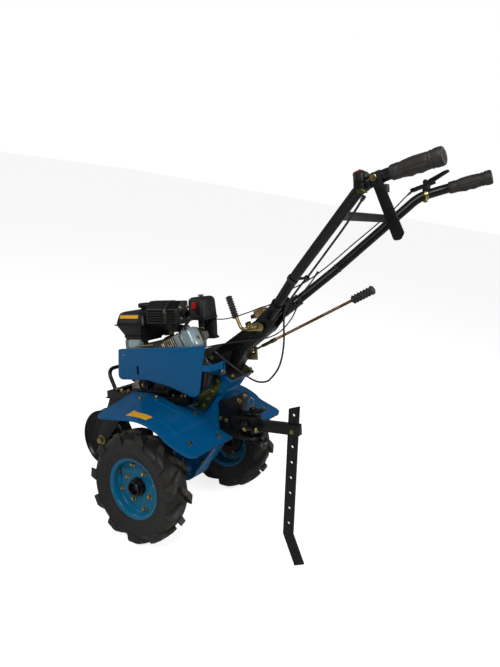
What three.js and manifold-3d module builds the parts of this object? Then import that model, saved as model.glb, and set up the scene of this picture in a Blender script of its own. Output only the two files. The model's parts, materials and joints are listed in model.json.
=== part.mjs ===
// A belt-driven walking tractor: petrol engine on a bed ahead of a leaning gearbox, two lugged drive wheels,
// a small transport wheel in front, and long handlebars and a drag stake behind.
// Everything is drawn level, with X forward, Y to the left, Z up and the wheel axle at the origin. The whole
// machine is then tipped to the way it parks: nose down on the transport wheel, with the stake on the floor.
// Millimetres throughout.
import * as THREE from 'three';
import { mergeVertices } from 'three/addons/utils/BufferGeometryUtils.js';
import Module from 'manifold-3d';

const wasm = await Module();
wasm.setup();

// ---- driving dimensions ----
const gap = 0.3; // between pieces that touch
const turningGap = 1; // between a turning piece and its bearing
const boltGap = 0.5; // round a bolt or pin in its hole

const tyreRadius = 203;
const tyreWidth = 110;
const halfTrack = 278; // axle centre to the middle of a tyre
const rimSeatRadius = 101.6;
const rimFlangeRadius = 120;
const rimHalfWidth = 39;
const rimSheet = 4;
const rimWebOut = 8; // outer face of the wheel disc, outboard of the tyre's middle
const hubRadius = 33;
const hubEndRadius = 26;
const hubFlangeRadius = 66;
const hubShoulder = 24; // where the hub steps down, outboard of the tyre's middle
const hubOut = 38; // outer end of the hub, outboard of the tyre's middle
const hubIn = 62; // inner end of the hub, inboard of the tyre's middle
const axleRadius = 18.4; // corner radius of the hexagon bar
const axleRecess = 14; // axle end inside the hub's mouth

const frontWheelRadius = 126;
const frontWheelWidth = 58;
const frontWheelAhead = 449; // of the axle
const frontWheelRise = 41; // above the axle
const frontBoltRadius = 8;

const caseHalfWidth = 42; // gearbox, lower part
const headHalfWidth = 58; // gearbox, upper part
const caseFootRadius = 70;

const fenderRadius = tyreRadius + 47.7; // its flat top bolts up under the bed
const fenderFront = 182;
const fenderRear = -290;
const fenderInner = 62;
const fenderOuter = 300;
const fenderSheet = 2.5;
const fenderLip = 9;

// The engine, the top of the gearbox and the handlebars are placed from the bed, which clears the fenders.
const bedDepth = 27;
const bedTop = fenderRadius + gap + bedDepth;
const caseTop = { front: [-146, bedTop + 172], rear: [-282, bedTop + 79] }; // sloping top face
const inputShaft = [-150, bedTop + 116];
const crankshaft = [100, bedTop + 126];
const strapHeight = inputShaft[1] + 8; // of the strap behind the belt guard
const strapFront = -259;
const bedFront = 335;
const bedRear = -92;
const railWidth = 30;
const enginePlateDepth = 20; // plate between the bed and the engine

const pulleyMiddle = 132; // Y of the belt
const drivenPulleyRadius = 85;
const drivenShaftRadius = 13.7;
const enginePulleyRadius = 45;
const crankRadius = 10;
const pulleyWidth = 30;

const guardOuter = 165; // outer face of the belt guard
const guardInner = 110;
const guardSheet = 2.5;

const pivot = [-397, bedTop + 265]; // where the handlebars tilt
const postHalfWidth = 27;
const postEndRadius = 30;
const headSheet = 6;
const barRadius = 15.5;
const socketWall = 3.7;
const gripLength = 137;
const gripRadius = 22;

const hitchPinX = -320;
const hitchPinRadius = 10;
const armMiddle = 179; // height of the drag arm
const armHeight = 39;
const armWidth = 24;
const armRear = -509;
const stakeWidth = 40;
const stakeThickness = 8;
const stakeLean = 6.7; // degrees, top to the rear
const stakeBolt = [-481, 172];
const stakeAbove = 86; // stake above its bolt
const stakeStraight = 394; // stake from its bolt to the bend
const stakeFootAngle = 19; // degrees, foot to the rear
const stakeHolePitch = 58;
const stakeHoleRadius = 5.5;
const stakeHolesBelow = 6;

const cableRadius = 3;
const wireRadius = 2;

// ---- the way it parks ----
// Nose down until the transport wheel, the drive wheels and the stake all stand on one floor.
const frontReach = Math.hypot(frontWheelAhead, frontWheelRise);
const parkTilt = Math.atan2(frontWheelRise, frontWheelAhead)
  + Math.asin((tyreRadius - frontWheelRadius) / frontReach);

// Parked place of a point given level: forward of the axle and above the floor.
function parked(x, z) {
  const forward = x * Math.cos(parkTilt) + z * Math.sin(parkTilt);
  const height = -x * Math.sin(parkTilt) + z * Math.cos(parkTilt) + tyreRadius;
  return [forward, height];
}

// ---- materials ----
function finish(color, roughness, metalness) {
  return new THREE.MeshStandardMaterial({ color, roughness, metalness });
}
const bluePaint = finish('#0a5687', 0.35, 0);
const rimPaint = finish('#0d6d93', 0.35, 0);
const blackPaint = finish('#17181a', 0.4, 0);
const blackPlastic = finish('#1c1c1c', 0.5, 0);
const blackRubber = finish('#242322', 0.75, 0);
const tyreRubber = finish('#2a2826', 0.85, 0);
const yellowZinc = finish('#a58a4c', 0.35, 0.9);
const castAluminium = finish('#8d8f8c', 0.5, 0.9);
const paleCover = finish('#a9bcc0', 0.4, 0.3);
const darkSteel = finish('#3a3a3b', 0.45, 0.9);

// ---- shape helpers ----
const arcSteps = 8;
const wheelSides = 32; // a corner of each wheel's outline stands on the floor

function outlineOf(points) {
  return new THREE.Shape(points.map(([x, y]) => new THREE.Vector2(x, y)));
}

// A side view, X across and Z up, given thickness from yLow to yHigh.
function sideSlab(shape, yLow, yHigh) {
  const settings = { depth: yHigh - yLow, bevelEnabled: false, curveSegments: arcSteps };
  return new THREE.ExtrudeGeometry(shape, settings).rotateX(Math.PI / 2).translate(0, yHigh, 0);
}

// A plan view, X forward and Y left, given height from zLow to zHigh.
function planSlab(shape, zLow, zHigh) {
  const settings = { depth: zHigh - zLow, bevelEnabled: false, curveSegments: arcSteps };
  return new THREE.ExtrudeGeometry(shape, settings).translate(0, 0, zLow);
}

function block([xLow, xHigh], [yLow, yHigh], [zLow, zHigh]) {
  return new THREE.BoxGeometry(xHigh - xLow, yHigh - yLow, zHigh - zLow)
    .translate((xLow + xHigh) / 2, (yLow + yHigh) / 2, (zLow + zHigh) / 2);
}

// A plan rectangle with rounded corners.
function roundedRectangle([xLow, xHigh], [yLow, yHigh], radius) {
  const shape = new THREE.Shape();
  shape.absarc(xHigh - radius, yHigh - radius, radius, 0, Math.PI / 2);
  shape.absarc(xLow + radius, yHigh - radius, radius, Math.PI / 2, Math.PI);
  shape.absarc(xLow + radius, yLow + radius, radius, Math.PI, 1.5 * Math.PI);
  shape.absarc(xHigh - radius, yLow + radius, radius, 1.5 * Math.PI, 2 * Math.PI);
  return shape;
}

// A solid of revolution about Y from [radius, y] pairs.
function turned(profile, segments = 32) {
  return new THREE.LatheGeometry(profile.map(([radius, y]) => new THREE.Vector2(radius, y)), segments);
}

// A round bar across the machine, centred on a point of the side view.
function crossBar([x, z], radius, yLow, yHigh, sides = 24) {
  return new THREE.CylinderGeometry(radius, radius, yHigh - yLow, sides).translate(x, (yLow + yHigh) / 2, z);
}

function uprightBar(x, y, radius, zLow, zHigh, sides = 20) {
  return new THREE.CylinderGeometry(radius, radius, zHigh - zLow, sides)
    .rotateX(Math.PI / 2).translate(x, y, (zLow + zHigh) / 2);
}

// A round bar between two points.
function barBetween(from, to, radius, sides = 16) {
  const along = new THREE.Vector3().subVectors(to, from);
  const upward = new THREE.Vector3(0, 1, 0);
  const turn = new THREE.Quaternion().setFromUnitVectors(upward, along.clone().normalize());
  return new THREE.CylinderGeometry(radius, radius, along.length(), sides)
    .translate(0, along.length() / 2, 0).applyQuaternion(turn).translate(from.x, from.y, from.z);
}

// A path that steps through given points.
class SteppedPath extends THREE.Curve {
  constructor(points) {
    super();
    this.points = points;
  }

  getPoint(t, target = new THREE.Vector3()) {
    const along = t * (this.points.length - 1);
    const index = Math.min(Math.floor(along), this.points.length - 2);
    return target.lerpVectors(this.points[index], this.points[index + 1], along - index);
  }

  getUtoTmapping(u) {
    return u;
  }
}

function toVector([x, y, z]) {
  return new THREE.Vector3(x, y, z);
}

// The corners of a route, each rounded to its own bend radius.
function bentRoute(corners, bendRadius, stepsInBend = 6) {
  const spots = corners.map(toVector);
  const route = [spots[0]];
  for (let index = 1; index < spots.length - 1; index += 1) {
    const before = new THREE.Vector3().subVectors(spots[index - 1], spots[index]);
    const after = new THREE.Vector3().subVectors(spots[index + 1], spots[index]);
    const turn = Math.PI - before.angleTo(after);
    const reach = Math.min(bendRadius * Math.tan(turn / 2), 0.45 * before.length(), 0.45 * after.length());
    const start = spots[index].clone().addScaledVector(before.normalize(), reach);
    const end = spots[index].clone().addScaledVector(after.normalize(), reach);
    const bend = new THREE.QuadraticBezierCurve3(start, spots[index], end);
    route.push(...bend.getPoints(stepsInBend));
  }
  route.push(spots.at(-1));
  return route;
}

function roundSection(radius, sides) {
  const corners = [];
  for (let index = 0; index < sides; index += 1) {
    const angle = 2 * Math.PI * index / sides;
    corners.push([radius * Math.cos(angle), radius * Math.sin(angle)]);
  }
  return outlineOf(corners);
}

function sweep(section, route) {
  const extrudePath = new SteppedPath(route);
  return new THREE.ExtrudeGeometry(section, { extrudePath, steps: route.length - 1, bevelEnabled: false });
}

// A cable through chosen points, smooth between them.
function cableAlong(points, radius, steps, sides = 8) {
  const curve = new THREE.CatmullRomCurve3(points.map(toVector), false, 'centripetal');
  return sweep(roundSection(radius, sides), curve.getSpacedPoints(steps));
}

// ---- joining and cutting ----
function toSolid(geometry) {
  const bare = geometry.clone();
  bare.deleteAttribute('normal');
  bare.deleteAttribute('uv');
  const merged = mergeVertices(bare, 1e-3);
  const corners = merged.index.array;
  const triVerts = [];
  for (let first = 0; first < corners.length; first += 3) {
    const [a, b, c] = corners.slice(first, first + 3);
    if (a !== b && b !== c && c !== a) triVerts.push(a, b, c);
  }
  const vertProperties = Float32Array.from(merged.attributes.position.array);
  const mesh = new wasm.Mesh({ numProp: 3, vertProperties, triVerts: Uint32Array.from(triVerts) });
  return new wasm.Manifold(mesh);
}

function toGeometry(solid) {
  const mesh = solid.getMesh();
  const geometry = new THREE.BufferGeometry();
  geometry.setAttribute('position', new THREE.BufferAttribute(mesh.vertProperties, 3));
  geometry.setIndex(new THREE.BufferAttribute(mesh.triVerts, 1));
  geometry.computeVertexNormals();
  return geometry;
}

// One piece made of added shapes, less the cut ones.
function shaped(added, cut = []) {
  let solid = toSolid(added[0]);
  for (const geometry of added.slice(1)) solid = solid.add(toSolid(geometry));
  for (const geometry of cut) solid = solid.subtract(toSolid(geometry));
  return toGeometry(solid);
}

function common(first, second) {
  return toGeometry(toSolid(first).intersect(toSolid(second)));
}

// ---- assembly ----
const machine = new THREE.Group();
machine.rotation.y = parkTilt;

function place(name, geometry, material, parent = machine) {
  const mesh = new THREE.Mesh(geometry, material);
  mesh.name = name;
  parent.add(mesh);
  return mesh;
}

const sides = [{ name: 'left', sign: 1 }, { name: 'right', sign: -1 }];

// ---- drive wheels ----
function tyreShape() {
  const bead = rimHalfWidth - rimSheet - gap;
  const half = [
    [rimSeatRadius, bead],
    [rimFlangeRadius + 2, bead],
    [rimFlangeRadius + 10, bead + 8],
    [rimFlangeRadius + 26, tyreWidth / 2 - 3],
    [tyreRadius - 38, tyreWidth / 2],
    [tyreRadius - 8, tyreWidth / 2 - 6],
    [tyreRadius, tyreWidth / 2 - 20],
  ];
  const other = half.map(([radius, y]) => [radius, -y]);
  return turned([...other, ...half.reverse(), other[0]], wheelSides);
}

function rimShape() {
  const barrel = rimSeatRadius - gap;
  const inside = barrel - rimSheet;
  const webIn = rimWebOut - rimSheet - 2;
  const bore = hubRadius + gap;
  return turned([
    [bore, webIn], [inside, webIn], [inside, -rimHalfWidth], [rimFlangeRadius, -rimHalfWidth],
    [rimFlangeRadius, rimSheet - rimHalfWidth], [barrel, rimSheet - rimHalfWidth],
    [barrel, rimHalfWidth - rimSheet], [rimFlangeRadius, rimHalfWidth - rimSheet],
    [rimFlangeRadius, rimHalfWidth], [inside, rimHalfWidth], [inside, rimWebOut + 6],
    [inside - 8, rimWebOut], [bore, rimWebOut], [bore, webIn],
  ], wheelSides);
}

function hubShape() {
  const bore = axleRadius + gap;
  const flangeOut = rimWebOut - rimSheet - 2 - gap;
  return turned([
    [bore, -hubIn], [hubRadius - 3, -hubIn], [hubRadius - 3, flangeOut - 8], [hubFlangeRadius, flangeOut - 8],
    [hubFlangeRadius, flangeOut], [hubRadius, flangeOut], [hubRadius, hubShoulder], [hubEndRadius, hubShoulder],
    [hubEndRadius, hubOut], [bore, hubOut], [bore, -hubIn],
  ], 24);
}

function addDriveWheels() {
  const wheels = new THREE.Group();
  wheels.rotation.y = -parkTilt;
  machine.add(wheels);
  const axleEnd = halfTrack + hubOut - axleRecess;
  place('drive_axle', new THREE.CylinderGeometry(axleRadius, axleRadius, 2 * axleEnd, 6), darkSteel, wheels);
  for (const { name, sign } of sides) {
    const wheel = new THREE.Group();
    wheel.position.y = sign * halfTrack;
    wheel.rotation.x = sign > 0 ? 0 : Math.PI;
    wheels.add(wheel);
    place(`${name}_tyre`, tyreShape(), tyreRubber, wheel);
    place(`${name}_rim`, rimShape(), rimPaint, wheel);
    place(`${name}_hub`, hubShape(), blackPaint, wheel);
  }
}

// ---- transport wheel ----
const forkInner = frontWheelWidth / 2 + 6;
const forkSheet = 5;

function frontWheelShape() {
  const half = frontWheelWidth / 2;
  const radius = frontWheelRadius;
  const bore = frontBoltRadius + turningGap;
  return turned([
    [bore, -18], [20, -18], [20, -3], [radius - 22, -3], [radius - 10, -half + 4], [radius - 6, -half],
    [radius, -half + 3], [radius, half - 3], [radius - 6, half],
    [radius - 10, half - 4], [radius - 22, 3], [20, 3], [20, 18], [bore, 18], [bore, -18],
  ], wheelSides);
}

function forkShape() {
  const [top, foot] = [bedTop - bedDepth - gap, [frontWheelAhead, frontWheelRise]];
  const cheek = new THREE.Shape();
  cheek.moveTo(bedFront - 92, top);
  cheek.lineTo(bedFront - 92, top - 22);
  cheek.lineTo(foot[0] - 20, foot[1] - 12);
  cheek.absarc(foot[0], foot[1], 24, 1.15 * Math.PI, 2.1 * Math.PI);
  cheek.lineTo(bedFront + 30, top);
  const cheeks = [
    sideSlab(cheek, forkInner, forkInner + forkSheet),
    sideSlab(cheek, -forkInner - forkSheet, -forkInner),
  ];
  const saddle = block([bedFront - 92, bedFront + 10], [-88, 88], [top - forkSheet, top]);
  const boltHead = forkInner + forkSheet + 9;
  const bolt = crossBar(foot, frontBoltRadius, -boltHead, boltHead, 20);
  const heads = [1, -1].map((sign) => {
    const [low, high] = [sign * (forkInner + forkSheet - 1), sign * boltHead].sort((a, b) => a - b);
    return crossBar(foot, 13, low, high, 6);
  });
  return shaped([...cheeks, saddle, bolt, ...heads]);
}

function addFrontWheel() {
  const wheel = place('front_wheel', frontWheelShape(), blackPaint);
  wheel.position.set(frontWheelAhead, 0, frontWheelRise);
  wheel.rotation.y = -parkTilt;
  place('front_fork', forkShape(), blackPaint);
}

// ---- gearbox ----
const slope = Math.atan2(caseTop.front[1] - caseTop.rear[1], caseTop.front[0] - caseTop.rear[0]);
const slopeLength = Math.hypot(caseTop.front[0] - caseTop.rear[0], caseTop.front[1] - caseTop.rear[1]);
const bossRear = -190; // upright face that the hitch bolts to
const bossLow = 118;
const bossHigh = 255;

// A point of the sloping top: along from its rear corner, and above it.
function onTop(along, above) {
  return [
    caseTop.rear[0] + along * Math.cos(slope) - above * Math.sin(slope),
    caseTop.rear[1] + along * Math.sin(slope) + above * Math.cos(slope),
  ];
}

function fromInput(x, z) {
  return [inputShaft[0] + x, inputShaft[1] + z];
}

function gearboxShape() {
  const lower = new THREE.Shape();
  lower.absarc(0, 0, caseFootRadius, 1.12 * Math.PI, 2.08 * Math.PI);
  lower.lineTo(-18, 210);
  lower.lineTo(-92, inputShaft[1] + 6);
  lower.lineTo(caseTop.rear[0] + 40, caseTop.rear[1]);
  lower.lineTo(-232, caseTop.rear[1] - 57);
  lower.lineTo(bossRear, bossHigh);
  lower.lineTo(bossRear, bossLow);
  const flange = outlineOf([onTop(0, 0), onTop(0, -16), onTop(slopeLength, -16), onTop(slopeLength, 0)]);
  const head = outlineOf([
    onTop(8, -12), onTop(slopeLength - 6, -12), fromInput(58, 46), fromInput(68, -2), fromInput(60, -54),
    fromInput(10, -88), fromInput(-75, -94),
  ]);
  const added = [
    sideSlab(lower, -caseHalfWidth, caseHalfWidth),
    sideSlab(head, -headHalfWidth, headHalfWidth),
    sideSlab(flange, -headHalfWidth - 8, headHalfWidth + 8),
    crossBar([0, 0], 50, -72, 72, 32),
    crossBar([0, 0], 34, -88, 88, 32),
    crossBar(inputShaft, 38, 50, pulleyMiddle - pulleyWidth / 2 - 14, 24),
    crossBar(inputShaft, drivenShaftRadius, 50, pulleyMiddle + pulleyWidth / 2, 20),
  ];
  return shaped(added, [crossBar([0, 0], axleRadius + turningGap, -100, 100, 32)]);
}

// Zinc-plated plate bolted to the left of the gearbox, its upper edge hollowed round the pulley.
function sidePlateShape() {
  const plate = new THREE.Shape();
  plate.moveTo(...fromInput(-66, -24));
  plate.quadraticCurveTo(...fromInput(-96, -44), ...fromInput(-56, -94));
  plate.lineTo(...fromInput(0, -162));
  plate.lineTo(...fromInput(56, -154));
  plate.quadraticCurveTo(...fromInput(30, -96), ...fromInput(-28, -74));
  plate.quadraticCurveTo(...fromInput(-46, -49), ...fromInput(-46, -24));
  return sideSlab(plate, headHalfWidth + gap, headHalfWidth + gap + 3);
}

function columnBaseShape() {
  const base = outlineOf([onTop(-6, gap), onTop(slopeLength + 4, gap), onTop(slopeLength + 4, 9), onTop(-6, 9)]);
  const earX = [strapFront + gap, strapFront + 6];
  const ear = block(earX, [headHalfWidth + 6, headHalfWidth + 40], [strapHeight - 24, strapHeight + 24]);
  return shaped([sideSlab(base, -headHalfWidth - 10, headHalfWidth + 10), ear]);
}

function postShape() {
  const [x, z] = pivot;
  const post = new THREE.Shape();
  post.moveTo(...onTop(22, 9 + gap));
  post.lineTo(...onTop(slopeLength - 26, 9 + gap));
  post.lineTo(x + 12, z + postEndRadius - 2);
  post.absarc(x, z, postEndRadius, 0.42 * Math.PI, 1.33 * Math.PI);
  post.lineTo(x + 73, z - 87);
  return shaped([sideSlab(post, -postHalfWidth, postHalfWidth)],
    [crossBar(pivot, 9 + boltGap, -postHalfWidth - 1, postHalfWidth + 1)]);
}

function addGearbox() {
  place('gearbox_housing', gearboxShape(), bluePaint);
  place('gearbox_side_plate', sidePlateShape(), yellowZinc);
  place('column_base', columnBaseShape(), blackPaint);
  place('handlebar_post', postShape(), blackPaint);
}

// ---- engine bed, bumper, fenders ----
function bedShape() {
  const railInner = headHalfWidth + gap;
  const railOuter = railInner + railWidth;
  const height = [bedTop - bedDepth, bedTop];
  return shaped([
    block([bedRear, bedFront], [railInner, railOuter], height),
    block([bedRear, bedFront], [-railOuter, -railInner], height),
    block([bedFront - 28, bedFront], [-railOuter, railOuter], height),
    block([20, 50], [-railOuter, railOuter], [bedTop - bedDepth, bedTop - 14]),
  ]);
}

function bumperShape() {
  const [reach, top, foot] = [80, bedTop + 88, bedTop + gap];
  const route = bentRoute([
    [bedFront - 44, reach, foot + 6], [bedFront - 8, reach, top], [bedFront - 8, -reach, top],
    [bedFront - 44, -reach, foot + 6],
  ], 26, 6);
  const pads = [1, -1].map((sign) => {
    const [low, high] = [sign * (reach - 14), sign * (reach + 6)].sort((a, b) => a - b);
    return block([bedFront - 60, bedFront - 28], [low, high], [foot, foot + 6]);
  });
  return shaped([sweep(roundSection(8, 12), route), ...pads]);
}

// The fender's outline in side view, from its front edge back, moved in by the given depth.
function fenderLine(depth) {
  const radius = fenderRadius - depth;
  const line = [[fenderFront - 1, radius - 7], [24, radius - 1]];
  const [first, last, steps] = [88, 132, 8];
  for (let step = 0; step <= steps; step += 1) {
    const angle = THREE.MathUtils.degToRad(first + (last - first) * step / steps);
    line.push([radius * Math.cos(angle), radius * Math.sin(angle)]);
  }
  line.push([fenderRear + 12 + 0.4 * depth, 143 - 0.9 * depth]);
  return line;
}

function fenderShape(sign) {
  const [yLow, yHigh] = [sign * fenderInner, sign * fenderOuter].sort((a, b) => a - b);
  const [lipLow, lipHigh] = [sign * (fenderOuter - fenderSheet), sign * fenderOuter].sort((a, b) => a - b);
  const sheet = outlineOf([...fenderLine(0), ...fenderLine(fenderSheet).reverse()]);
  const lip = outlineOf([...fenderLine(0), ...fenderLine(fenderLip).reverse()]);
  const whole = shaped([sideSlab(sheet, yLow, yHigh), sideSlab(lip, lipLow, lipHigh)]);
  const plan = planSlab(roundedRectangle([fenderRear, fenderFront], [yLow - 40, yHigh], 34), 0, bedTop);
  const inward = planSlab(roundedRectangle([fenderRear, fenderFront], [yLow, yHigh + 40], 34), 0, bedTop);
  return common(whole, sign > 0 ? plan : inward);
}

// The engine bolts to this plate, which slides on the bed to tighten the belt.
function enginePlateShape() {
  const low = bedTop + gap;
  return block([crankshaft[0] - 96, crankshaft[0] + 96], [-92, 84], [low, low + enginePlateDepth]);
}

function addFrame() {
  place('engine_bed', bedShape(), blackPaint);
  place('engine_plate', enginePlateShape(), blackPaint);
  place('front_bumper', bumperShape(), blackPaint);
  for (const { name, sign } of sides) place(`${name}_fender`, fenderShape(sign), bluePaint);
}

// ---- engine ----
const cylinderTilt = THREE.MathUtils.degToRad(25);
const cylinderStart = 68; // from the crankshaft
const cylinderLength = 106;
const finPitch = 10;

// Turns a shape drawn along +X from the crankshaft to lie along the leaning cylinder, which points back and up.
function alongCylinder(geometry) {
  return geometry.rotateY(Math.PI + cylinderTilt).translate(crankshaft[0], 0, crankshaft[1]);
}

function crankcaseShape() {
  const [x, z] = crankshaft;
  const base = bedTop + enginePlateDepth + 2 * gap;
  const body = new THREE.Shape();
  body.moveTo(x - 92, base);
  body.lineTo(x + 92, base);
  body.lineTo(x + 92, base + 12);
  body.absarc(x + 18, z, 72, -0.3 * Math.PI, 0.4 * Math.PI);
  body.lineTo(x - 30, z + 70);
  body.lineTo(x - 70, z + 58);
  body.lineTo(x - 66, base + 60);
  body.lineTo(x - 92, base + 12);
  return shaped([
    sideSlab(body, -72, 84),
    crossBar(crankshaft, 52, 80, 92, 28),
    crossBar(crankshaft, crankRadius, 90, pulleyMiddle + pulleyWidth / 2, 16),
  ], [alongCylinder(block([cylinderStart - gap, cylinderStart + 200], [-100, 100], [-110, 110]))]);
}

function cylinderShape() {
  const end = cylinderStart + cylinderLength;
  const added = [alongCylinder(block([cylinderStart, end], [-34, 40], [-36, 36]))];
  for (let start = cylinderStart + 2; start < end - 18; start += finPitch) {
    added.push(alongCylinder(block([start, start + 4], [-40, 52], [-48, 48])));
  }
  added.push(alongCylinder(block([end - 14, end], [-38, 48], [-46, 46])));
  return shaped(added);
}

function rockerCoverShape() {
  const shape = roundedRectangle([-42, 42], [-34, 44], 16);
  const settings = { depth: 26, bevelEnabled: true, bevelSize: 6, bevelThickness: 8, bevelSegments: 2,
    bevelOffset: -6, curveSegments: 3 };
  const cover = new THREE.ExtrudeGeometry(shape, settings).rotateY(Math.PI / 2)
    .translate(cylinderStart + cylinderLength + gap + settings.bevelThickness, 0, 0);
  return alongCylinder(cover);
}

const tankSeam = bedTop + 272;
const tankTop = tankSeam + 52;
const coverBase = bedTop + 278; // underside of the air filter's cover

function tankShape() {
  const [x, y] = [[90, 258], [-128, 96]];
  const rounded = (inset, radius) => roundedRectangle([x[0] + inset, x[1] - inset], [y[0] + inset, y[1] - inset],
    radius);
  const upper = new THREE.ExtrudeGeometry(rounded(4, 26), { depth: tankTop - tankSeam - 18, bevelEnabled: true,
    bevelSize: 14, bevelThickness: 14, bevelOffset: -14, bevelSegments: 1, curveSegments: 3 })
    .translate(0, 0, tankSeam + 4);
  const lower = new THREE.ExtrudeGeometry(rounded(6, 26), { depth: 20, bevelEnabled: true, bevelSize: 24,
    bevelThickness: 26, bevelOffset: -24, bevelSegments: 1, curveSegments: 3 }).translate(0, 0, tankSeam - 34);
  const floor = roundedRectangle([x[0] + 26, x[1] - 26], [-56, y[1] - 22], 20);
  const sump = planSlab(floor, tankSeam - 73, tankSeam - 50);
  return shaped([upper, lower, sump, planSlab(rounded(0, 28), tankSeam - 2, tankSeam + 3)]);
}

function fuelCapShape() {
  return turned([[0, 0], [17, 0], [17, 8], [27, 8], [28, 11], [28, 22], [24, 26], [0, 26]], 24)
    .rotateX(Math.PI / 2);
}

function mufflerShape() {
  const can = roundedRectangle([-74, 82], [24, 86], 14);
  const low = coverBase - 4;
  const top = planSlab(can, low, low + 88);
  const stub = barBetween(toVector([-66, 54, low + 44]), toVector([-96, 58, low + 38]), 15, 14);
  const port = block([-30, 2], [26, 50], [low - 32, low + 4]);
  return shaped([top, stub, port]);
}

function airFilterShape() {
  const base = planSlab(roundedRectangle([-100, -30], [-126, -94], 12), coverBase - 80, coverBase + 4);
  const cover = planSlab(roundedRectangle([-104, -24], [-128, -24], 16), coverBase, coverBase + 86);
  return shaped([base, cover, uprightBar(-62, -76, 6, coverBase + 84, coverBase + 96, 10)]);
}

function carburettorShape() {
  return shaped([
    block([-88, -48], [-76, -41], [coverBase - 82, coverBase - 42]),
    uprightBar(-68, -60, 15, coverBase - 108, coverBase - 80, 14),
    uprightBar(-68, -62, 12, coverBase - 46, coverBase - gap, 14),
  ]);
}

function recoilShape() {
  const radius = 84;
  return turned([
    [0, 0], [radius - 2, 0], [radius, 6], [radius, 44], [radius - 10, 52], [radius - 14, 70], [34, 82], [0, 82],
  ], 28).rotateX(Math.PI).translate(crankshaft[0], -72 - gap, crankshaft[1]);
}

function addEngine() {
  place('crankcase', crankcaseShape(), castAluminium);
  place('cylinder', cylinderShape(), castAluminium);
  place('rocker_cover', rockerCoverShape(), paleCover);
  place('fuel_tank', tankShape(), blackPlastic);
  place('fuel_cap', fuelCapShape(), blackPlastic).position.set(176, -14, tankTop + gap);
  place('muffler', mufflerShape(), blackPaint);
  place('air_filter', airFilterShape(), blackPlastic);
  place('carburettor', carburettorShape(), castAluminium);
  place('recoil_starter', recoilShape(), blackPaint);
}

// ---- belt drive ----
function pulleyShape(radius, bore) {
  const half = pulleyWidth / 2;
  return turned([
    [bore, -half], [radius, -half], [radius, -half + 4], [radius - 12, -half + 10], [radius - 12, half - 10],
    [radius, half - 4], [radius, half], [bore, half], [bore, -half],
  ], 28);
}

function beltShape() {
  const [driven, engine] = [drivenPulleyRadius - 11, enginePulleyRadius - 11];
  const run = Math.hypot(crankshaft[0] - inputShaft[0], crankshaft[1] - inputShaft[1]);
  const lean = Math.atan2(crankshaft[1] - inputShaft[1], crankshaft[0] - inputShaft[0]);
  const wrap = Math.acos((driven - engine) / run);
  const loop = (extra) => {
    const shape = new THREE.Shape();
    shape.absarc(...inputShaft, driven + extra, lean + wrap, lean - wrap + 2 * Math.PI);
    shape.absarc(...crankshaft, engine + extra, lean - wrap, lean + wrap);
    return shape;
  };
  const outer = loop(11);
  outer.holes = [loop(0)];
  return sideSlab(outer, pulleyMiddle - 4.5, pulleyMiddle + 4.5);
}

// X from the axle and Z from the crankshaft, as all of the guard is drawn.
const guardOutline = [
  [166, 64], [-246, 88], [-210, -67], [-204, -84], [-190, -95], [-168, -95], [-77, -65], [39, -47], [160, -53],
  [174, -48], [179, -36],
];

// The guard's outline moved in by one sheet thickness.
function guardInset(depth) {
  const [middleX, middleZ] = [-30, 6];
  return guardOutline.map(([x, z]) => [x - Math.sign(x - middleX) * depth, z - Math.sign(z - middleZ) * depth]);
}

function guardShape() {
  const outer = sideSlab(outlineOf(guardOutline), guardInner, guardOuter);
  const hollow = sideSlab(outlineOf(guardInset(guardSheet)), guardInner - 5, guardOuter - guardSheet);
  const rearMouth = outlineOf([[-260, 83], [-260, -124], [-100, -124], [-100, -59], [-185, -59], [-205, 80]]);
  const underMouth = outlineOf([[-110, -124], [155, -124], [155, -42], [39, -38], [-77, -52], [-110, -59]]);
  return shaped([outer], [
    hollow,
    sideSlab(rearMouth, guardInner - 5, guardOuter - guardSheet),
    sideSlab(underMouth, guardInner - 5, guardOuter - 14),
    block([81, 87], [guardOuter - 10, guardOuter + 5], [-30, 4]),
  ]).translate(0, 0, crankshaft[1]);
}

function guardStrapShape() {
  const face = guardOuter - guardSheet - gap;
  const height = [strapHeight + 1, strapHeight + 23];
  const sheet = [strapFront - 3, strapFront];
  return shaped([
    block([sheet[0], -200], [face - 3, face], height),
    block(sheet, [headHalfWidth + 14, face], height),
    block(sheet, [headHalfWidth + 14, headHalfWidth + 42], [strapHeight - 24, strapHeight + 24]),
  ]);
}

function addBeltDrive() {
  const driven = place('driven_pulley', pulleyShape(drivenPulleyRadius, drivenShaftRadius + gap), darkSteel);
  driven.position.set(inputShaft[0], pulleyMiddle, inputShaft[1]);
  const engine = place('engine_pulley', pulleyShape(enginePulleyRadius, crankRadius + gap), darkSteel);
  engine.position.set(crankshaft[0], pulleyMiddle, crankshaft[1]);
  place('drive_belt', beltShape(), blackRubber);
  place('belt_guard', guardShape(), bluePaint);
  place('guard_strap', guardStrapShape(), bluePaint);
}

// ---- gear lever ----
function gearRodShape() {
  const [start, end] = [toVector([-304, -38, bedTop + 162]), toVector([-722, -10, bedTop + 348])];
  const tip = end.clone().add(end.clone().sub(start).normalize().multiplyScalar(76));
  const rod = barBetween(start, end, 5, 10);
  const grip = barBetween(end.clone().lerp(start, 0.02), tip, 14, 14);
  return shaped([rod, grip]);
}

// Small plate beside the post that guides the gear rod.
function gearGuideShape() {
  const face = postHalfWidth + gap;
  return shaped([
    block([-336, -285], [-face - 3, -face], [bedTop + 134, bedTop + 161]),
    block([-336, -323], [-face - 3, -face], [bedTop + 157, bedTop + 183]),
  ]);
}

function addGearLever() {
  place('gear_lever', gearRodShape(), yellowZinc);
  place('gear_guide', gearGuideShape(), yellowZinc);
}

// ---- handlebars, drawn from their pivot ----
const handlebars = new THREE.Group();
handlebars.position.set(pivot[0], 0, pivot[1]);
machine.add(handlebars);

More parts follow.
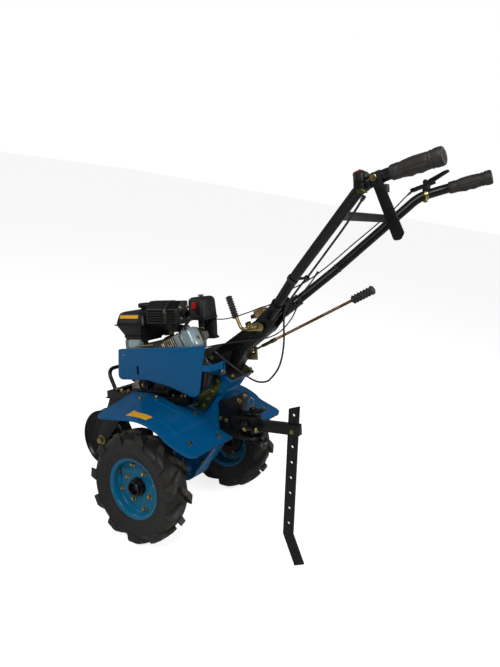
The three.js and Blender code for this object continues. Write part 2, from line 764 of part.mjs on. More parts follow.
const headInner = postHalfWidth + boltGap;
const barRoute = [
  [-55, 50, 47], [-207, 145, 175], [-469, 252, 397], [-541, 278, 414], [-686, 293, 437],
];

// The handlebar's corners on one side, from its socket to the end of its grip.
function barCorners(sign) {
  return barRoute.map(([x, y, z]) => [x, sign * y, z]);
}

function barShape(sign, radius = barRadius) {
  return sweep(roundSection(radius, 12), bentRoute(barCorners(sign), 130, 5));
}

function headShape() {
  const cheek = new THREE.Shape();
  cheek.absarc(0, 0, postEndRadius, -0.7 * Math.PI, 0.3 * Math.PI);
  cheek.lineTo(-73, 97);
  cheek.lineTo(-103, 69);
  const added = [
    sideSlab(cheek, headInner, headInner + headSheet),
    sideSlab(cheek, -headInner - headSheet, -headInner),
    block([-97, -51], [-headInner - headSheet, headInner + headSheet], [49, 79]),
  ];
  const bores = [];
  for (const { sign } of sides) {
    const [from, to] = barCorners(sign).slice(0, 2).map(toVector);
    const along = to.clone().sub(from).normalize();
    const mouth = from.clone().addScaledVector(along, 62);
    added.push(barBetween(from.clone().addScaledVector(along, -14), mouth, barRadius + gap + socketWall, 20));
    bores.push(barBetween(from.clone().addScaledVector(along, -gap), mouth.clone().addScaledVector(along, 5),
      barRadius + gap, 20));
  }
  bores.push(crossBar([0, 0], 9 + boltGap, -60, 60));
  return shaped(added, bores);
}

function braceShape() {
  const plate = block([-393, -389], [-222, 222], [319, 344]);
  return shaped([plate], sides.map(({ sign }) => barShape(sign, barRadius + gap)));
}

function gripShape() {
  const wall = barRadius + gap;
  const end = gripLength;
  return turned([
    [wall, 0], [wall + 3, 0], [wall + 3, 22], [gripRadius - 1, 40], [gripRadius, 70], [gripRadius - 2, end - 22],
    [gripRadius, end - 18], [gripRadius, end - 3], [gripRadius - 3, end + 4], [0, end + 4], [0, end + gap + 1],
    [wall, end + gap + 1], [wall, 0],
  ], 24);
}

function addGrip(name, sign) {
  const [start, end] = barCorners(sign).slice(-2).map(toVector);
  const along = end.clone().sub(start).normalize();
  const grip = place(`${name}_grip`, gripShape(), blackRubber, handlebars);
  grip.quaternion.setFromUnitVectors(new THREE.Vector3(0, 1, 0), along);
  grip.position.copy(end.clone().addScaledVector(along, -gripLength));
}

// Long flat lever on the left handlebar, with the bracket that carries it.
function clutchLeverShape() {
  const blade = outlineOf([[-506, 417], [-528, 417], [-587, 269], [-579, 257], [-565, 254]]);
  return shaped([
    sideSlab(blade, 287, 293),
    block([-531, -503], [262, 289], [385, 419]),
  ], [barShape(1, barRadius + gap)]);
}

function stopSwitchShape() {
  return shaped([
    block([-487, -453], [236, 280], [375, 431]),
  ], [barShape(1, barRadius + gap)]);
}

function throttleLeverShape() {
  const plate = outlineOf([[-441, 423], [-515, 441], [-517, 433], [-445, 415]]);
  const lever = outlineOf([[-483, 435], [-501, 449], [-557, 472], [-561, 464], [-503, 435]]);
  return shaped([
    sideSlab(plate, -276, -252),
    sideSlab(lever, -270, -258),
    block([-497, -483], [-290, -244], [383, 437]),
  ], [barShape(-1, barRadius + gap)]);
}

function lockLeverShape() {
  const face = headInner + headSheet + gap;
  const [x, z] = pivot;
  const route = bentRoute([[x + 4, face + 12, z], [x + 70, face + 12, z - 10], [x + 94, face + 12, z + 50]], 22, 5);
  const grip = barBetween(toVector([x + 90, face + 12, z + 30]), toVector([x + 115, face + 12, z + 105]), 12, 12);
  return shaped([
    sweep(roundSection(6, 10), route),
    grip,
    crossBar(pivot, 17, face, face + 20, 20),
    crossBar(pivot, 9, -face - 10, face + 2, 16),
    crossBar(pivot, 15, -face - 10, -face, 6),
  ]);
}

// Toothed sector standing on the post, which the handlebars lock against.
function quadrantShape() {
  const [x, z] = pivot;
  const [root, tip, toothAngle] = [58, 66, THREE.MathUtils.degToRad(6)];
  const corners = [[x + 34, z + 24], [x + 44, z + 30]];
  for (let angle = Math.PI * 0.26; angle < Math.PI * 0.58; angle += toothAngle) {
    corners.push([x + root * Math.cos(angle), z + root * Math.sin(angle)]);
    corners.push([x + tip * Math.cos(angle + toothAngle / 2), z + tip * Math.sin(angle + toothAngle / 2)]);
  }
  corners.push([x - 12, z + 40], [x - 6, z + postEndRadius + gap], [x + 12, z + postEndRadius + gap]);
  return sideSlab(outlineOf(corners), 6, 12);
}

function addHandlebars() {
  place('handlebar_head', headShape(), blackPaint, handlebars);
  for (const { name, sign } of sides) {
    place(`${name}_handlebar`, barShape(sign), blackPaint, handlebars);
    addGrip(name, sign);
  }
  place('cross_brace', braceShape(), blackPaint, handlebars);
  place('clutch_lever', clutchLeverShape(), blackPaint, handlebars);
  place('stop_switch', stopSwitchShape(), blackPlastic, handlebars);
  place('throttle_lever', throttleLeverShape(), blackPaint, handlebars);
  place('lock_lever', lockLeverShape(), yellowZinc);
  place('tilt_quadrant', quadrantShape(), yellowZinc);
}

// ---- hitch and stake ----
const earGap = 0.6;
const eyeTop = armMiddle + 24;
const eyeFoot = armMiddle - 40;
const eyeRadius = 25;
const bracketDepth = 90; // front to back, ahead of its ears

function hitchBracketShape() {
  const front = bossRear - gap;
  const back = front - bracketDepth;
  const earTop = eyeTop + earGap;
  const earLow = eyeFoot - earGap;
  const ear = new THREE.Shape();
  ear.moveTo(back + 8, -34);
  ear.lineTo(back + 8, 34);
  ear.absarc(hitchPinX, 0, 30, 0.5 * Math.PI, 1.5 * Math.PI);
  const added = [
    block([back, front], [-34, 34], [earLow - 12, earTop + 12]),
    planSlab(ear, earTop, earTop + 12),
    planSlab(ear, earLow - 12, earLow),
    uprightBar(hitchPinX, 0, hitchPinRadius, earLow - 30, earTop + 40, 20),
  ];
  for (const { sign } of sides) {
    const y = sign * 46;
    const [low, high] = [sign * 30, sign * 58].sort((a, b) => a - b);
    added.push(block([back - 6, back + 12], [low, high], [armMiddle - 14, armMiddle + 14]));
    const bolt = barBetween(toVector([back + 2, y, armMiddle]), toVector([back - 74, y, armMiddle]), 6, 12);
    added.push(bolt);
    added.push(barBetween(toVector([back - 62, y, armMiddle]), toVector([back - 76, y, armMiddle]), 10, 6));
  }
  return shaped(added);
}

const stakeTurn = THREE.MathUtils.degToRad(stakeLean);
const stakeUp = [-Math.sin(stakeTurn), Math.cos(stakeTurn)];
const stakeBack = [-stakeUp[1], stakeUp[0]]; // across the stake, to the rear

// A point of the stake: up from its bolt, and to the rear of its middle line.
function onStake(up, back) {
  return [
    stakeBolt[0] + up * stakeUp[0] + back * stakeBack[0],
    stakeBolt[1] + up * stakeUp[1] + back * stakeBack[1],
  ];
}

function armShape() {
  const [low, high] = [armMiddle - armHeight / 2, armMiddle + armHeight / 2];
  const slot = outlineOf([
    onStake(-80, -stakeWidth / 2 - gap), onStake(80, -stakeWidth / 2 - gap),
    onStake(80, stakeWidth / 2 + gap), onStake(-80, stakeWidth / 2 + gap),
  ]);
  const half = armWidth / 2;
  return shaped([
    block([armRear, hitchPinX], [-half, half], [low, high]),
    uprightBar(hitchPinX, 0, eyeRadius, eyeFoot, eyeTop, 28),
  ], [
    sideSlab(slot, -stakeThickness / 2 - gap, stakeThickness / 2 + gap),
    uprightBar(hitchPinX, 0, hitchPinRadius + boltGap, eyeFoot - 2, eyeTop + 2, 20),
    crossBar(stakeBolt, stakeHoleRadius, -half - 2, half + 2, 16),
  ]);
}

// The foot's front corner stands on the floor, so its length follows from the way the machine parks.
function stakeShape() {
  const halfWidth = stakeWidth / 2;
  const footLean = THREE.MathUtils.degToRad(stakeFootAngle);
  const footDown = [-Math.sin(footLean), -Math.cos(footLean)];
  const heel = onStake(-stakeStraight, -halfWidth);
  const heelHeight = parked(...heel)[1];
  const dropPerLength = tyreRadius - parked(...footDown)[1];
  const footLength = heelHeight / dropPerLength;
  const toe = [heel[0] + footLength * footDown[0], heel[1] + footLength * footDown[1]];
  const toeBack = [toe[0] + stakeWidth * footDown[1], toe[1] - stakeWidth * footDown[0]];
  const outline = outlineOf([
    onStake(stakeAbove - 8, -halfWidth), onStake(stakeAbove + 8, halfWidth),
    onStake(-stakeStraight + 8, halfWidth), toeBack, toe, heel,
  ]);
  for (let index = -1; index <= stakeHolesBelow; index += 1) {
    const hole = new THREE.Path();
    hole.absarc(...onStake(-index * stakeHolePitch, 0), stakeHoleRadius, 0, 2 * Math.PI);
    outline.holes.push(hole);
  }
  return sideSlab(outline, -stakeThickness / 2, stakeThickness / 2);
}

function addHitch() {
  place('hitch_bracket', hitchBracketShape(), blackPaint);
  place('drag_arm', armShape(), blackPaint);
  place('drag_stake', stakeShape(), blackPaint);
}

// ---- cables, held at both ends ----
const clutchRoute = [
  [-875, 258, 914], [-806, 222, 849], [-724, 168, 786], [-637, 120, 716], [-604, 108, 689], [-574, 100, 661],
  [-546, 97, 629], [-524, 92, 584], [-514, 88, 492], [-492, 86, 421], [-454, 84, 375], [-428, 84, 362],
  [-393, 84, 363], [-351, 86, 383], [-304, 92, 415], [-268, 96, 441], [-240, 98, 463],
];
const throttleRoute = [
  [-109, -82, 556], [-155, -76, 554], [-205, -70, 561], [-276, -62, 578], [-340, -60, 598], [-385, -64, 611],
  [-443, -74, 652], [-491, -106, 676], [-543, -120, 706], [-603, -132, 748], [-662, -165, 800], [-723, -200, 852],
  [-781, -232, 904], [-820, -250, 944], [-837, -262, 960],
];
const stopRoute = [
  [-20, 62, 448], [-70, 60, 452], [-125, 58, 460], [-200, 50, 474], [-251, 46, 482], [-328, 46, 492],
  [-372, 48, 497], [-427, 40, 506], [-462, 16, 524], [-502, 14, 562], [-540, 40, 600], [-590, 82, 656],
  [-626, 92, 690], [-658, 104, 722],
];

function addCables() {
  place('clutch_cable', cableAlong(clutchRoute, cableRadius, 48), blackRubber);
  place('throttle_cable', cableAlong(throttleRoute, wireRadius, 40, 6), blackRubber);
  place('stop_wire', cableAlong(stopRoute, wireRadius, 36, 6), blackRubber);
}

addDriveWheels();
addFrontWheel();
addGearbox();
addFrame();
addEngine();
addBeltDrive();
addGearLever();
addHandlebars();
addHitch();
addCables();

// The origin is on the floor, midway between the front of the transport wheel and the ends of the grips.
const frontEnd = parked(frontWheelAhead, frontWheelRise)[0] + frontWheelRadius;
const gripEnd = barRoute.at(-1);
const rearEnd = parked(pivot[0] + gripEnd[0], pivot[1] + gripEnd[2])[0] - gripRadius / 3;
machine.position.set(-(frontEnd + rearEnd) / 2, 0, tyreRadius);

const tractor = new THREE.Group();
tractor.add(machine);
export default tractor;
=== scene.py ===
import json
import math
import random

import bmesh
import bpy
import numpy as np
from mathutils import Matrix, Vector

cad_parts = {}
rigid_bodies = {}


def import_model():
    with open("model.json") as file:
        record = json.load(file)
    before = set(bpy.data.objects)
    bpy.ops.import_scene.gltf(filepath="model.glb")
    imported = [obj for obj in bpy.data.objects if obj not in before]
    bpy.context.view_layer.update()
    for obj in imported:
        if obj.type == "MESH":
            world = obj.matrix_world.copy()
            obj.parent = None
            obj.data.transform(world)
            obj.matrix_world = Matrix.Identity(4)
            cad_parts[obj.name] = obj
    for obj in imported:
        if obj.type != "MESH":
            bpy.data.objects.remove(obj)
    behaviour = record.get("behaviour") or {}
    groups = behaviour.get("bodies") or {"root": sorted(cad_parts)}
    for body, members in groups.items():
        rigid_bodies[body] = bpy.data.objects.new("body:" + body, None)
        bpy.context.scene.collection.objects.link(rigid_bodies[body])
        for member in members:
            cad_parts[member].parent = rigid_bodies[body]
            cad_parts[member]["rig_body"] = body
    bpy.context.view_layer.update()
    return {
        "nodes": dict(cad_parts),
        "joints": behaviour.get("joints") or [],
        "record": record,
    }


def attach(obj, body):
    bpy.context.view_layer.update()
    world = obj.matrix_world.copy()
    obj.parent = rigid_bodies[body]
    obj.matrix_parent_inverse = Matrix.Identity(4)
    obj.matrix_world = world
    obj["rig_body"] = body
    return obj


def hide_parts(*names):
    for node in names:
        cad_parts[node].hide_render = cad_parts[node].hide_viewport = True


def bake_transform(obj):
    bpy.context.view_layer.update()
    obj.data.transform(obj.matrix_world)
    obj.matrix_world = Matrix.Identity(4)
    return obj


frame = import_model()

random.seed(7)

# the level frame, from the joints: the axle is its zero and the hitch pin stands upright in it
joints = {joint["name"]: joint for joint in frame["joints"]}
axlePlace = np.array(joints["drive_wheels_turn"]["pos_m"])
upward = np.array(joints["drag_hitch_swing"]["axis"])
sideways = np.array([0.0, 1.0, 0.0])
forward = np.cross(sideways, upward)
levelAxes = np.array([forward, sideways, upward])
metresPerMm = 0.001


def toRow(points):
    # level millimetres to the frame's metres
    return np.asarray(points, float) @ levelAxes * metresPerMm + axlePlace


def toLevel(points):
    return (np.asarray(points, float) - axlePlace) @ levelAxes.T / metresPerMm


def levelBox(node):
    # lowest and highest corner of a CAD node in level millimetres
    spots = toLevel([vertex.co for vertex in frame["nodes"][node].data.vertices])
    return spots.min(0).tolist(), spots.max(0).tolist()


# ---- camera ----
cameraSetup = {
    "fromAxle": (-1.17625, 1.67124, 1.11913),
    "yaw": -59.30,
    "pitch": 15.49,
    "roll": 9.18,
    "lens": 30.68,
}


def addCamera(setup):
    yaw, pitch, roll = (math.radians(setup[key]) for key in ("yaw", "pitch", "roll"))
    ahead = Vector((math.cos(yaw) * math.cos(pitch), math.sin(yaw) * math.cos(pitch), -math.sin(pitch)))
    level = Vector((math.sin(yaw), -math.cos(yaw), 0))
    over = level.cross(ahead)
    right = math.cos(roll) * level + math.sin(roll) * over
    up = math.cos(roll) * over - math.sin(roll) * level
    data = bpy.data.cameras.new("camera")
    data.lens = setup["lens"]
    camera = bpy.data.objects.new("camera", data)
    bpy.context.scene.collection.objects.link(camera)
    turn = Matrix((right, up, -ahead)).transposed()
    camera.matrix_world = Matrix.Translation(Vector(axlePlace) + Vector(setup["fromAxle"])) @ turn.to_4x4()
    bpy.context.scene.camera = camera


addCamera(cameraSetup)
print("camera placed")


# ---- node helpers ----
def linear(hexColour):
    # an sRGB hex colour as linear red, green, blue and alpha
    parts = [int(hexColour[start:start + 2], 16) / 255 for start in (1, 3, 5)]
    return [c / 12.92 if c <= 0.04045 else ((c + 0.055) / 1.055) ** 2.4 for c in parts] + [1.0]


def addNode(tree, kind, settings=None, inputs=None):
    # adds a node, sets its properties, and sets or links its inputs
    node = tree.nodes.new(kind)
    for name, value in (settings or {}).items():
        setattr(node, name, value)
    for name, value in (inputs or {}).items():
        if isinstance(value, bpy.types.NodeSocket):
            tree.links.new(value, node.inputs[name])
        else:
            node.inputs[name].default_value = value
    return node


def newMaterial(name, base, metallic=0.0, roughness=0.5, **shaderValues):
    # a material with its shader, and positions in millimetres to draw patterns with
    material = bpy.data.materials.new(name)
    material.use_nodes = True
    tree = material.node_tree
    tree.nodes.clear()
    values = {"Base Color": linear(base), "Metallic": metallic, "Roughness": roughness, **shaderValues}
    shader = addNode(tree, "ShaderNodeBsdfPrincipled", inputs=values)
    addNode(tree, "ShaderNodeOutputMaterial", inputs={"Surface": shader.outputs["BSDF"]})
    place = addNode(tree, "ShaderNodeTexCoord")
    spot = addNode(tree, "ShaderNodeVectorMath", {"operation": "SCALE"},
                   {0: place.outputs["Object"], "Scale": 1 / metresPerMm})
    return material, tree, shader, spot.outputs[0]


def patches(tree, spot, size, low, high, detail=3.0, stretch=None):
    # uneven patches of about a size in millimetres, 0 below low and 1 above high
    if stretch:
        spot = addNode(tree, "ShaderNodeVectorMath", {"operation": "MULTIPLY"}, {
            0: spot, 1: stretch}).outputs[0]
    noise = addNode(tree, "ShaderNodeTexNoise", inputs={"Vector": spot, "Scale": 1 / size, "Detail": detail})
    ranged = addNode(tree, "ShaderNodeMapRange", inputs={
        "Value": noise.outputs["Fac"], "From Min": low, "From Max": high})
    return ranged.outputs["Result"]


# the mix node's colour sockets by number: it has others of the same names for plain numbers
mixColours, mixResult = (6, 7), 2


def stained(tree, colour, *stains):
    # a colour with stains laid over it, each given as a pattern, its strength and its own colour
    tone = linear(colour)
    for pattern, strength, stain in stains:
        share = addNode(tree, "ShaderNodeMath", {"operation": "MULTIPLY"}, {0: pattern, 1: strength})
        mix = addNode(tree, "ShaderNodeMix", {"data_type": "RGBA"}, {
            "Factor": share.outputs[0], mixColours[0]: tone, mixColours[1]: linear(stain)})
        tone = mix.outputs[mixResult]
    return tone


def finish(tree, shader, tone, pattern=None, smooth=0.0, rough=0.0):
    # the colour, and a roughness that runs from smooth to rough with a pattern
    tree.links.new(tone, shader.inputs["Base Color"])
    if pattern:
        sheen = addNode(tree, "ShaderNodeMapRange", inputs={
            "Value": pattern, "To Min": smooth, "To Max": rough})
        tree.links.new(sheen.outputs["Result"], shader.inputs["Roughness"])


def roughen(tree, shader, height, depth, strength=1.0):
    # bump from a height pattern, depth in millimetres
    bump = addNode(tree, "ShaderNodeBump", inputs={
        "Height": height, "Distance": depth * metresPerMm, "Strength": strength})
    tree.links.new(bump.outputs["Normal"], shader.inputs["Normal"])


# ---- materials ----
finishes = {
    "bluePaint": "#005486", "blueDust": "#3f7898", "rimPaint": "#0a6488", "rimDust": "#4f93a8",
    "blackPaint": "#0c0c0d", "blackDust": "#3a3836", "blackChips": "#7a766e",
    "moulded": "#0f0f0f", "mouldedDust": "#54524d", "stoveBlack": "#1b1a19", "heatBloom": "#4a4038",
    "tyre": "#1b1a19", "tyreFilm": "#3d3932", "soil": "#4b4439",
    "grip": "#211c19", "sheath": "#121212", "belt": "#1d1b19", "rubberBloom": "#4c4a46",
    "zincGold": "#b39a66", "zincGreen": "#8d8a5c", "zincPink": "#b48a74", "zincStain": "#2e2a20",
    "olive": "#5a5c30", "oliveDeep": "#5d5a28", "oliveGold": "#8c7a3c",
    "copper": "#8a6248", "copperDeep": "#6a5a3a", "copperPink": "#9c6a5a",
    "aluminium": "#8c8c88", "heatedFins": "#b3a495", "castingFilm": "#4b443a",
    "palePaint": "#a8bcc3", "paleHaze": "#6d7a7d",
    "steel": "#4d4c4a", "brightSteel": "#9a9994", "brass": "#a88440", "oilFilm": "#1f1b17",
    "labelYellow": "#f0ae18", "labelYellowWorn": "#f3d9a0",
    "labelDark": "#121110", "labelDarkWorn": "#5b5753",
    # the last two colours: near-black painted shade for holes and slots, and the faint dust on it
    "red": "#c4182c", "redWorn": "#7c1420", "paintedHoleShade": "#030303", "paintedHoleShadeDust": "#2b2622",
}


def sprayedEnamel(name, base, dust):
    # sprayed enamel on pressed steel: deep even colour under a clear gloss, faint orange peel, dull dust
    material, tree, shader, spot = newMaterial(name, finishes[base], roughness=0.3, **{
        "IOR": 1.5, "Specular IOR Level": 0.16, "Coat Weight": 0.08, "Coat Roughness": 0.12})
    film = patches(tree, spot, 70, 0.42, 0.72, 4.0)
    specks = patches(tree, spot, 3.2, 0.66, 0.72, 6.0)
    tone = stained(tree, finishes[base], (film, 0.05, finishes[dust]), (specks, 0.18, finishes[dust]))
    finish(tree, shader, tone, film, 0.22, 0.4)
    roughen(tree, shader, patches(tree, spot, 4, 0.2, 0.8, 2.0), 0.05, 0.4)  # orange peel, drawn coarse
    return material


def blackEnamel():
    # black enamel on steel tube and forgings: dark, half gloss, greyed by handling and road dust
    base = finishes["blackPaint"]
    material, tree, shader, spot = newMaterial("black_enamel_on_steel", base, roughness=0.38, **{
        "IOR": 1.5, "Specular IOR Level": 0.25, "Coat Weight": 0.08, "Coat Roughness": 0.25})
    film = patches(tree, spot, 45, 0.45, 0.75, 5.0)
    chips = patches(tree, spot, 5, 0.69, 0.72, 8.0)
    tone = stained(tree, base, (film, 0.1, finishes["blackDust"]), (chips, 0.5, finishes["blackChips"]))
    finish(tree, shader, tone, film, 0.3, 0.52)
    roughen(tree, shader, patches(tree, spot, 3, 0.2, 0.8, 3.0), 0.06, 0.5)
    return material


def mouldedPlastic():
    # black polypropylene from a spark-eroded mould: fine even grain that breaks up its shine
    base = finishes["moulded"]
    material, tree, shader, spot = newMaterial("black_moulded_polypropylene", base, roughness=0.45, **{
        "IOR": 1.49, "Specular IOR Level": 0.3})
    film = patches(tree, spot, 60, 0.4, 0.75, 4.0)
    finish(tree, shader, stained(tree, base, (film, 0.14, finishes["mouldedDust"])), film, 0.36, 0.55)
    roughen(tree, shader, patches(tree, spot, 1.4, 0.3, 0.7, 2.0), 0.05, 0.6)  # grain drawn coarse
    return material


def stoveBlack():
    # heat-proof black on the silencer's pressed steel: matt, with a brown bloom where it gets hot
    base = finishes["stoveBlack"]
    material, tree, shader, spot = newMaterial("heat_proof_black_on_steel", base, roughness=0.5, **{
        "Specular IOR Level": 0.3})
    bloom = patches(tree, spot, 35, 0.45, 0.75, 5.0)
    finish(tree, shader, stained(tree, base, (bloom, 0.35, finishes["heatBloom"])), bloom, 0.4, 0.65)
    roughen(tree, shader, patches(tree, spot, 2, 0.3, 0.7, 3.0), 0.05, 0.6)
    return material


def tyreRubber():
    # moulded tyre rubber: near black, matt, with dried soil on what has touched the ground
    base = finishes["tyre"]
    material, tree, shader, spot = newMaterial("moulded_tyre_rubber", base, roughness=0.62, **{
        "IOR": 1.52, "Specular IOR Level": 0.35})
    centre = axlePlace / metresPerMm
    offset = addNode(tree, "ShaderNodeVectorMath", {"operation": "SUBTRACT"}, {
        0: spot, 1: (centre[0], 0, centre[2])}).outputs[0]
    flat = addNode(tree, "ShaderNodeVectorMath", {"operation": "MULTIPLY"}, {
        0: offset, 1: (1, 0, 1)}).outputs[0]
    reach = addNode(tree, "ShaderNodeVectorMath", {"operation": "LENGTH"}, {0: flat}).outputs["Value"]
    lugFoot, lugTop = 186.0, 202.0  # distances from the axle's middle
    onLugs = addNode(tree, "ShaderNodeMapRange", inputs={
        "Value": reach, "From Min": lugFoot, "From Max": lugTop}).outputs["Result"]
    soil = addNode(tree, "ShaderNodeMath", {"operation": "MULTIPLY"}, {
        0: onLugs, 1: patches(tree, spot, 22, 0.38, 0.62, 5.0)}).outputs[0]
    film = patches(tree, spot, 40, 0.45, 0.75, 5.0)
    tone = stained(tree, base, (film, 0.25, finishes["tyreFilm"]), (soil, 0.85, finishes["soil"]))
    finish(tree, shader, tone, film, 0.5, 0.72)
    roughen(tree, shader, patches(tree, spot, 2.5, 0.3, 0.7, 4.0), 0.15, 0.7)
    return material


def paintedShadeOfOpenings():
    # painted shade for the inside of a hole or slot: almost no light comes back, so it reads as depth; a
    # faint dust lies on it
    base = finishes["paintedHoleShade"]
    material, tree, shader, spot = newMaterial("painted_shade_in_openings", base, roughness=0.9, **{
        "Specular IOR Level": 0.05})
    dust = patches(tree, spot, 4, 0.45, 0.75, 3.0)
    finish(tree, shader, stained(tree, base, (dust, 0.04, finishes["paintedHoleShadeDust"])))
    return material


def softRubber(name, base):
    # moulded soft rubber: matt black with a dry bloom and tiny pits
    material, tree, shader, spot = newMaterial(name, finishes[base], roughness=0.6, IOR=1.52)
    bloom = patches(tree, spot, 18, 0.42, 0.75, 4.0)
    finish(tree, shader, stained(tree, finishes[base], (bloom, 0.3, finishes["rubberBloom"])))
    roughen(tree, shader, patches(tree, spot, 1.2, 0.3, 0.7, 2.0), 0.05, 0.6)
    return material


def yellowZinc(name, first, second, third, roughness=0.3):
    # zinc plate with yellow passivate: metallic gold that drifts to green and pink from piece to piece
    base = finishes[first]
    material, tree, shader, spot = newMaterial(name, base, metallic=1.0, roughness=roughness)
    drift = patches(tree, spot, 16, 0.35, 0.65, 2.0)
    blush = patches(tree, spot, 9, 0.55, 0.7, 2.0)
    stain = patches(tree, spot, 6, 0.6, 0.72, 5.0)
    tone = stained(tree, base, (drift, 1.0, finishes[second]), (blush, 0.6, finishes[third]),
                   (stain, 0.45, finishes["zincStain"]))
    finish(tree, shader, tone, stain, roughness, roughness + 0.3)
    roughen(tree, shader, patches(tree, spot, 1.6, 0.3, 0.7, 2.0), 0.03, 0.5)
    return material


def castAluminium(name, base):
    # die-cast aluminium: dull silver skin with fine pits and brown film in the corners
    material, tree, shader, spot = newMaterial(name, finishes[base], metallic=0.9, roughness=0.45)
    film = patches(tree, spot, 14, 0.45, 0.7, 5.0)
    tone = stained(tree, finishes[base], (film, 0.6, finishes["castingFilm"]))
    finish(tree, shader, tone, film, 0.38, 0.65)
    roughen(tree, shader, patches(tree, spot, 1.8, 0.3, 0.7, 4.0), 0.12, 0.8)
    return material


def paleEnamel():
    # thin pale blue-grey paint on a pressed cover: soft shine with an oily haze
    base = finishes["palePaint"]
    material, tree, shader, spot = newMaterial("pale_enamel_on_pressed_cover", base, metallic=0.35,
                                               roughness=0.32)
    film = patches(tree, spot, 22, 0.45, 0.75, 4.0)
    finish(tree, shader, stained(tree, base, (film, 0.35, finishes["paleHaze"])), film, 0.26, 0.5)
    return material


def turnedSteel(name, base, roughness, ringSize):
    # turned or ground steel: fine tool marks and an oily brown film
    material, tree, shader, spot = newMaterial(name, finishes[base], metallic=1.0, roughness=roughness)
    film = patches(tree, spot, 20, 0.45, 0.75, 5.0)
    tone = stained(tree, finishes[base], (film, 0.6, finishes["oilFilm"]))
    finish(tree, shader, tone, film, roughness, roughness + 0.25)
    roughen(tree, shader, patches(tree, spot, ringSize, 0.3, 0.7, 2.0, (1, 6, 1)), 0.03, 0.6)
    return material


def printedVinyl(name, base, worn):
    # blank label vinyl: flat even colour with a light scuff
    material, tree, shader, spot = newMaterial(name, finishes[base], roughness=0.35, IOR=1.5)
    scuff = patches(tree, spot, 6, 0.6, 0.72, 6.0)
    finish(tree, shader, stained(tree, finishes[base], (scuff, 0.35, finishes[worn])))
    return material


blueSteel = sprayedEnamel("blue_enamel_on_pressed_steel", "bluePaint", "blueDust")
rimSteel = sprayedEnamel("teal_enamel_on_rim_steel", "rimPaint", "rimDust")
blackSteel = blackEnamel()
blackPlastic = mouldedPlastic()
silencerSteel = stoveBlack()
tyreBlack = tyreRubber()
gripRubber = softRubber("moulded_grip_rubber", "grip")
sheathPlastic = softRubber("extruded_cable_sheath", "sheath")
beltRubber = softRubber("wrapped_v_belt_rubber", "belt")
zincGold = yellowZinc("yellow_zinc_plate", "zincGold", "zincGreen", "zincPink")
zincOlive = yellowZinc("olive_zinc_plate_on_sheet", "olive", "oliveDeep", "oliveGold", 0.34)
copperSteel = yellowZinc("copper_brown_zinc_on_rod", "copper", "copperDeep", "copperPink")
castMetal = castAluminium("die_cast_aluminium", "aluminium")
finMetal = castAluminium("heat_browned_fin_castings", "heatedFins")
palePress = paleEnamel()
darkSteel = turnedSteel("oiled_turned_steel", "steel", 0.35, 2.0)
brightSteel = turnedSteel("bright_drawn_steel", "brightSteel", 0.25, 1.5)
brassMetal = turnedSteel("turned_brass", "brass", 0.3, 1.5)
yellowLabel = printedVinyl("blank_yellow_label_vinyl", "labelYellow", "labelYellowWorn")
darkLabel = printedVinyl("blank_dark_label_vinyl", "labelDark", "labelDarkWorn")
redPlastic = printedVinyl("moulded_red_plastic", "red", "redWorn")
# painted shade that stands in for the dark insides of holes and slots
paintedOpeningShade = paintedShadeOfOpenings()
print("materials made")


# ---- shape helpers: a shape is a list of points and a list of faces ----
def joined(*shapes):
    points, faces = [], []
    for shapePoints, shapeFaces in shapes:
        start = len(points)
        points.extend([tuple(point) for point in shapePoints])
        faces.extend([tuple(start + index for index in face) for face in shapeFaces])
    return points, faces


def stacked(loops, capStart=True, capEnd=True, closed=False):
    # faces between loops that all have the same number of points
    count = len(loops[0])
    points = [tuple(point) for loop in loops for point in loop]
    faces = []
    for row in range(len(loops) if closed else len(loops) - 1):
        here, there = row * count, (row + 1) % len(loops) * count
        for step in range(count):
            following = (step + 1) % count
            faces.append((here + step, here + following, there + following, there + step))
    if capStart and not closed:
        faces.append(tuple(reversed(range(count))))
    if capEnd and not closed:
        faces.append(tuple(range((len(loops) - 1) * count, len(loops) * count)))
    return points, faces


def axesFor(direction):
    along = Vector(direction).normalized()
    across = along.cross(Vector((0, 0, 1)))
    if across.length < 0.01:
        across = along.cross(Vector((1, 0, 0)))
    across.normalize()
    return along, across, along.cross(across)


def around(turn, across, other):
    return math.cos(turn) * across + math.sin(turn) * other


def turned(profile, centre, direction=(0, 1, 0), steps=48, closed=False):
    # a shape turned about an axis from (radius, along) pairs
    along, across, other = axesFor(direction)
    centre = Vector(centre)
    loops = []
    for radius, height in profile:
        radius = max(radius, 0.001)
        loops.append([centre + along * height + radius * (math.cos(turn) * across + math.sin(turn) * other)
                      for turn in np.linspace(0, 2 * math.pi, steps, endpoint=False)])
    return stacked(loops, closed=closed)


def roundedLoop(xRange, yRange, radius, z, steps=5):
    # a rectangle with round corners, at one height
    (xLow, xHigh), (yLow, yHigh) = xRange, yRange
    corners = [(xHigh, yHigh, 0), (xLow, yHigh, 90), (xLow, yLow, 180), (xHigh, yLow, 270)]
    loop = []
    for x, y, start in corners:
        cx = x - radius if x == xHigh else x + radius
        cy = y - radius if y == yHigh else y + radius
        for step in range(steps + 1):
            angle = math.radians(start + 90 * step / steps)
            loop.append((cx + radius * math.cos(angle), cy + radius * math.sin(angle), z))
    return loop


def roundedStack(xRange, yRange, rings):
    # rounded rectangles one over another, from (inset, corner radius, height) rows
    loops = []
    for inset, radius, z in rings:
        xs = (xRange[0] + inset, xRange[1] - inset)
        ys = (yRange[0] + inset, yRange[1] - inset)
        loops.append(roundedLoop(xs, ys, radius, z))
    return stacked(loops)


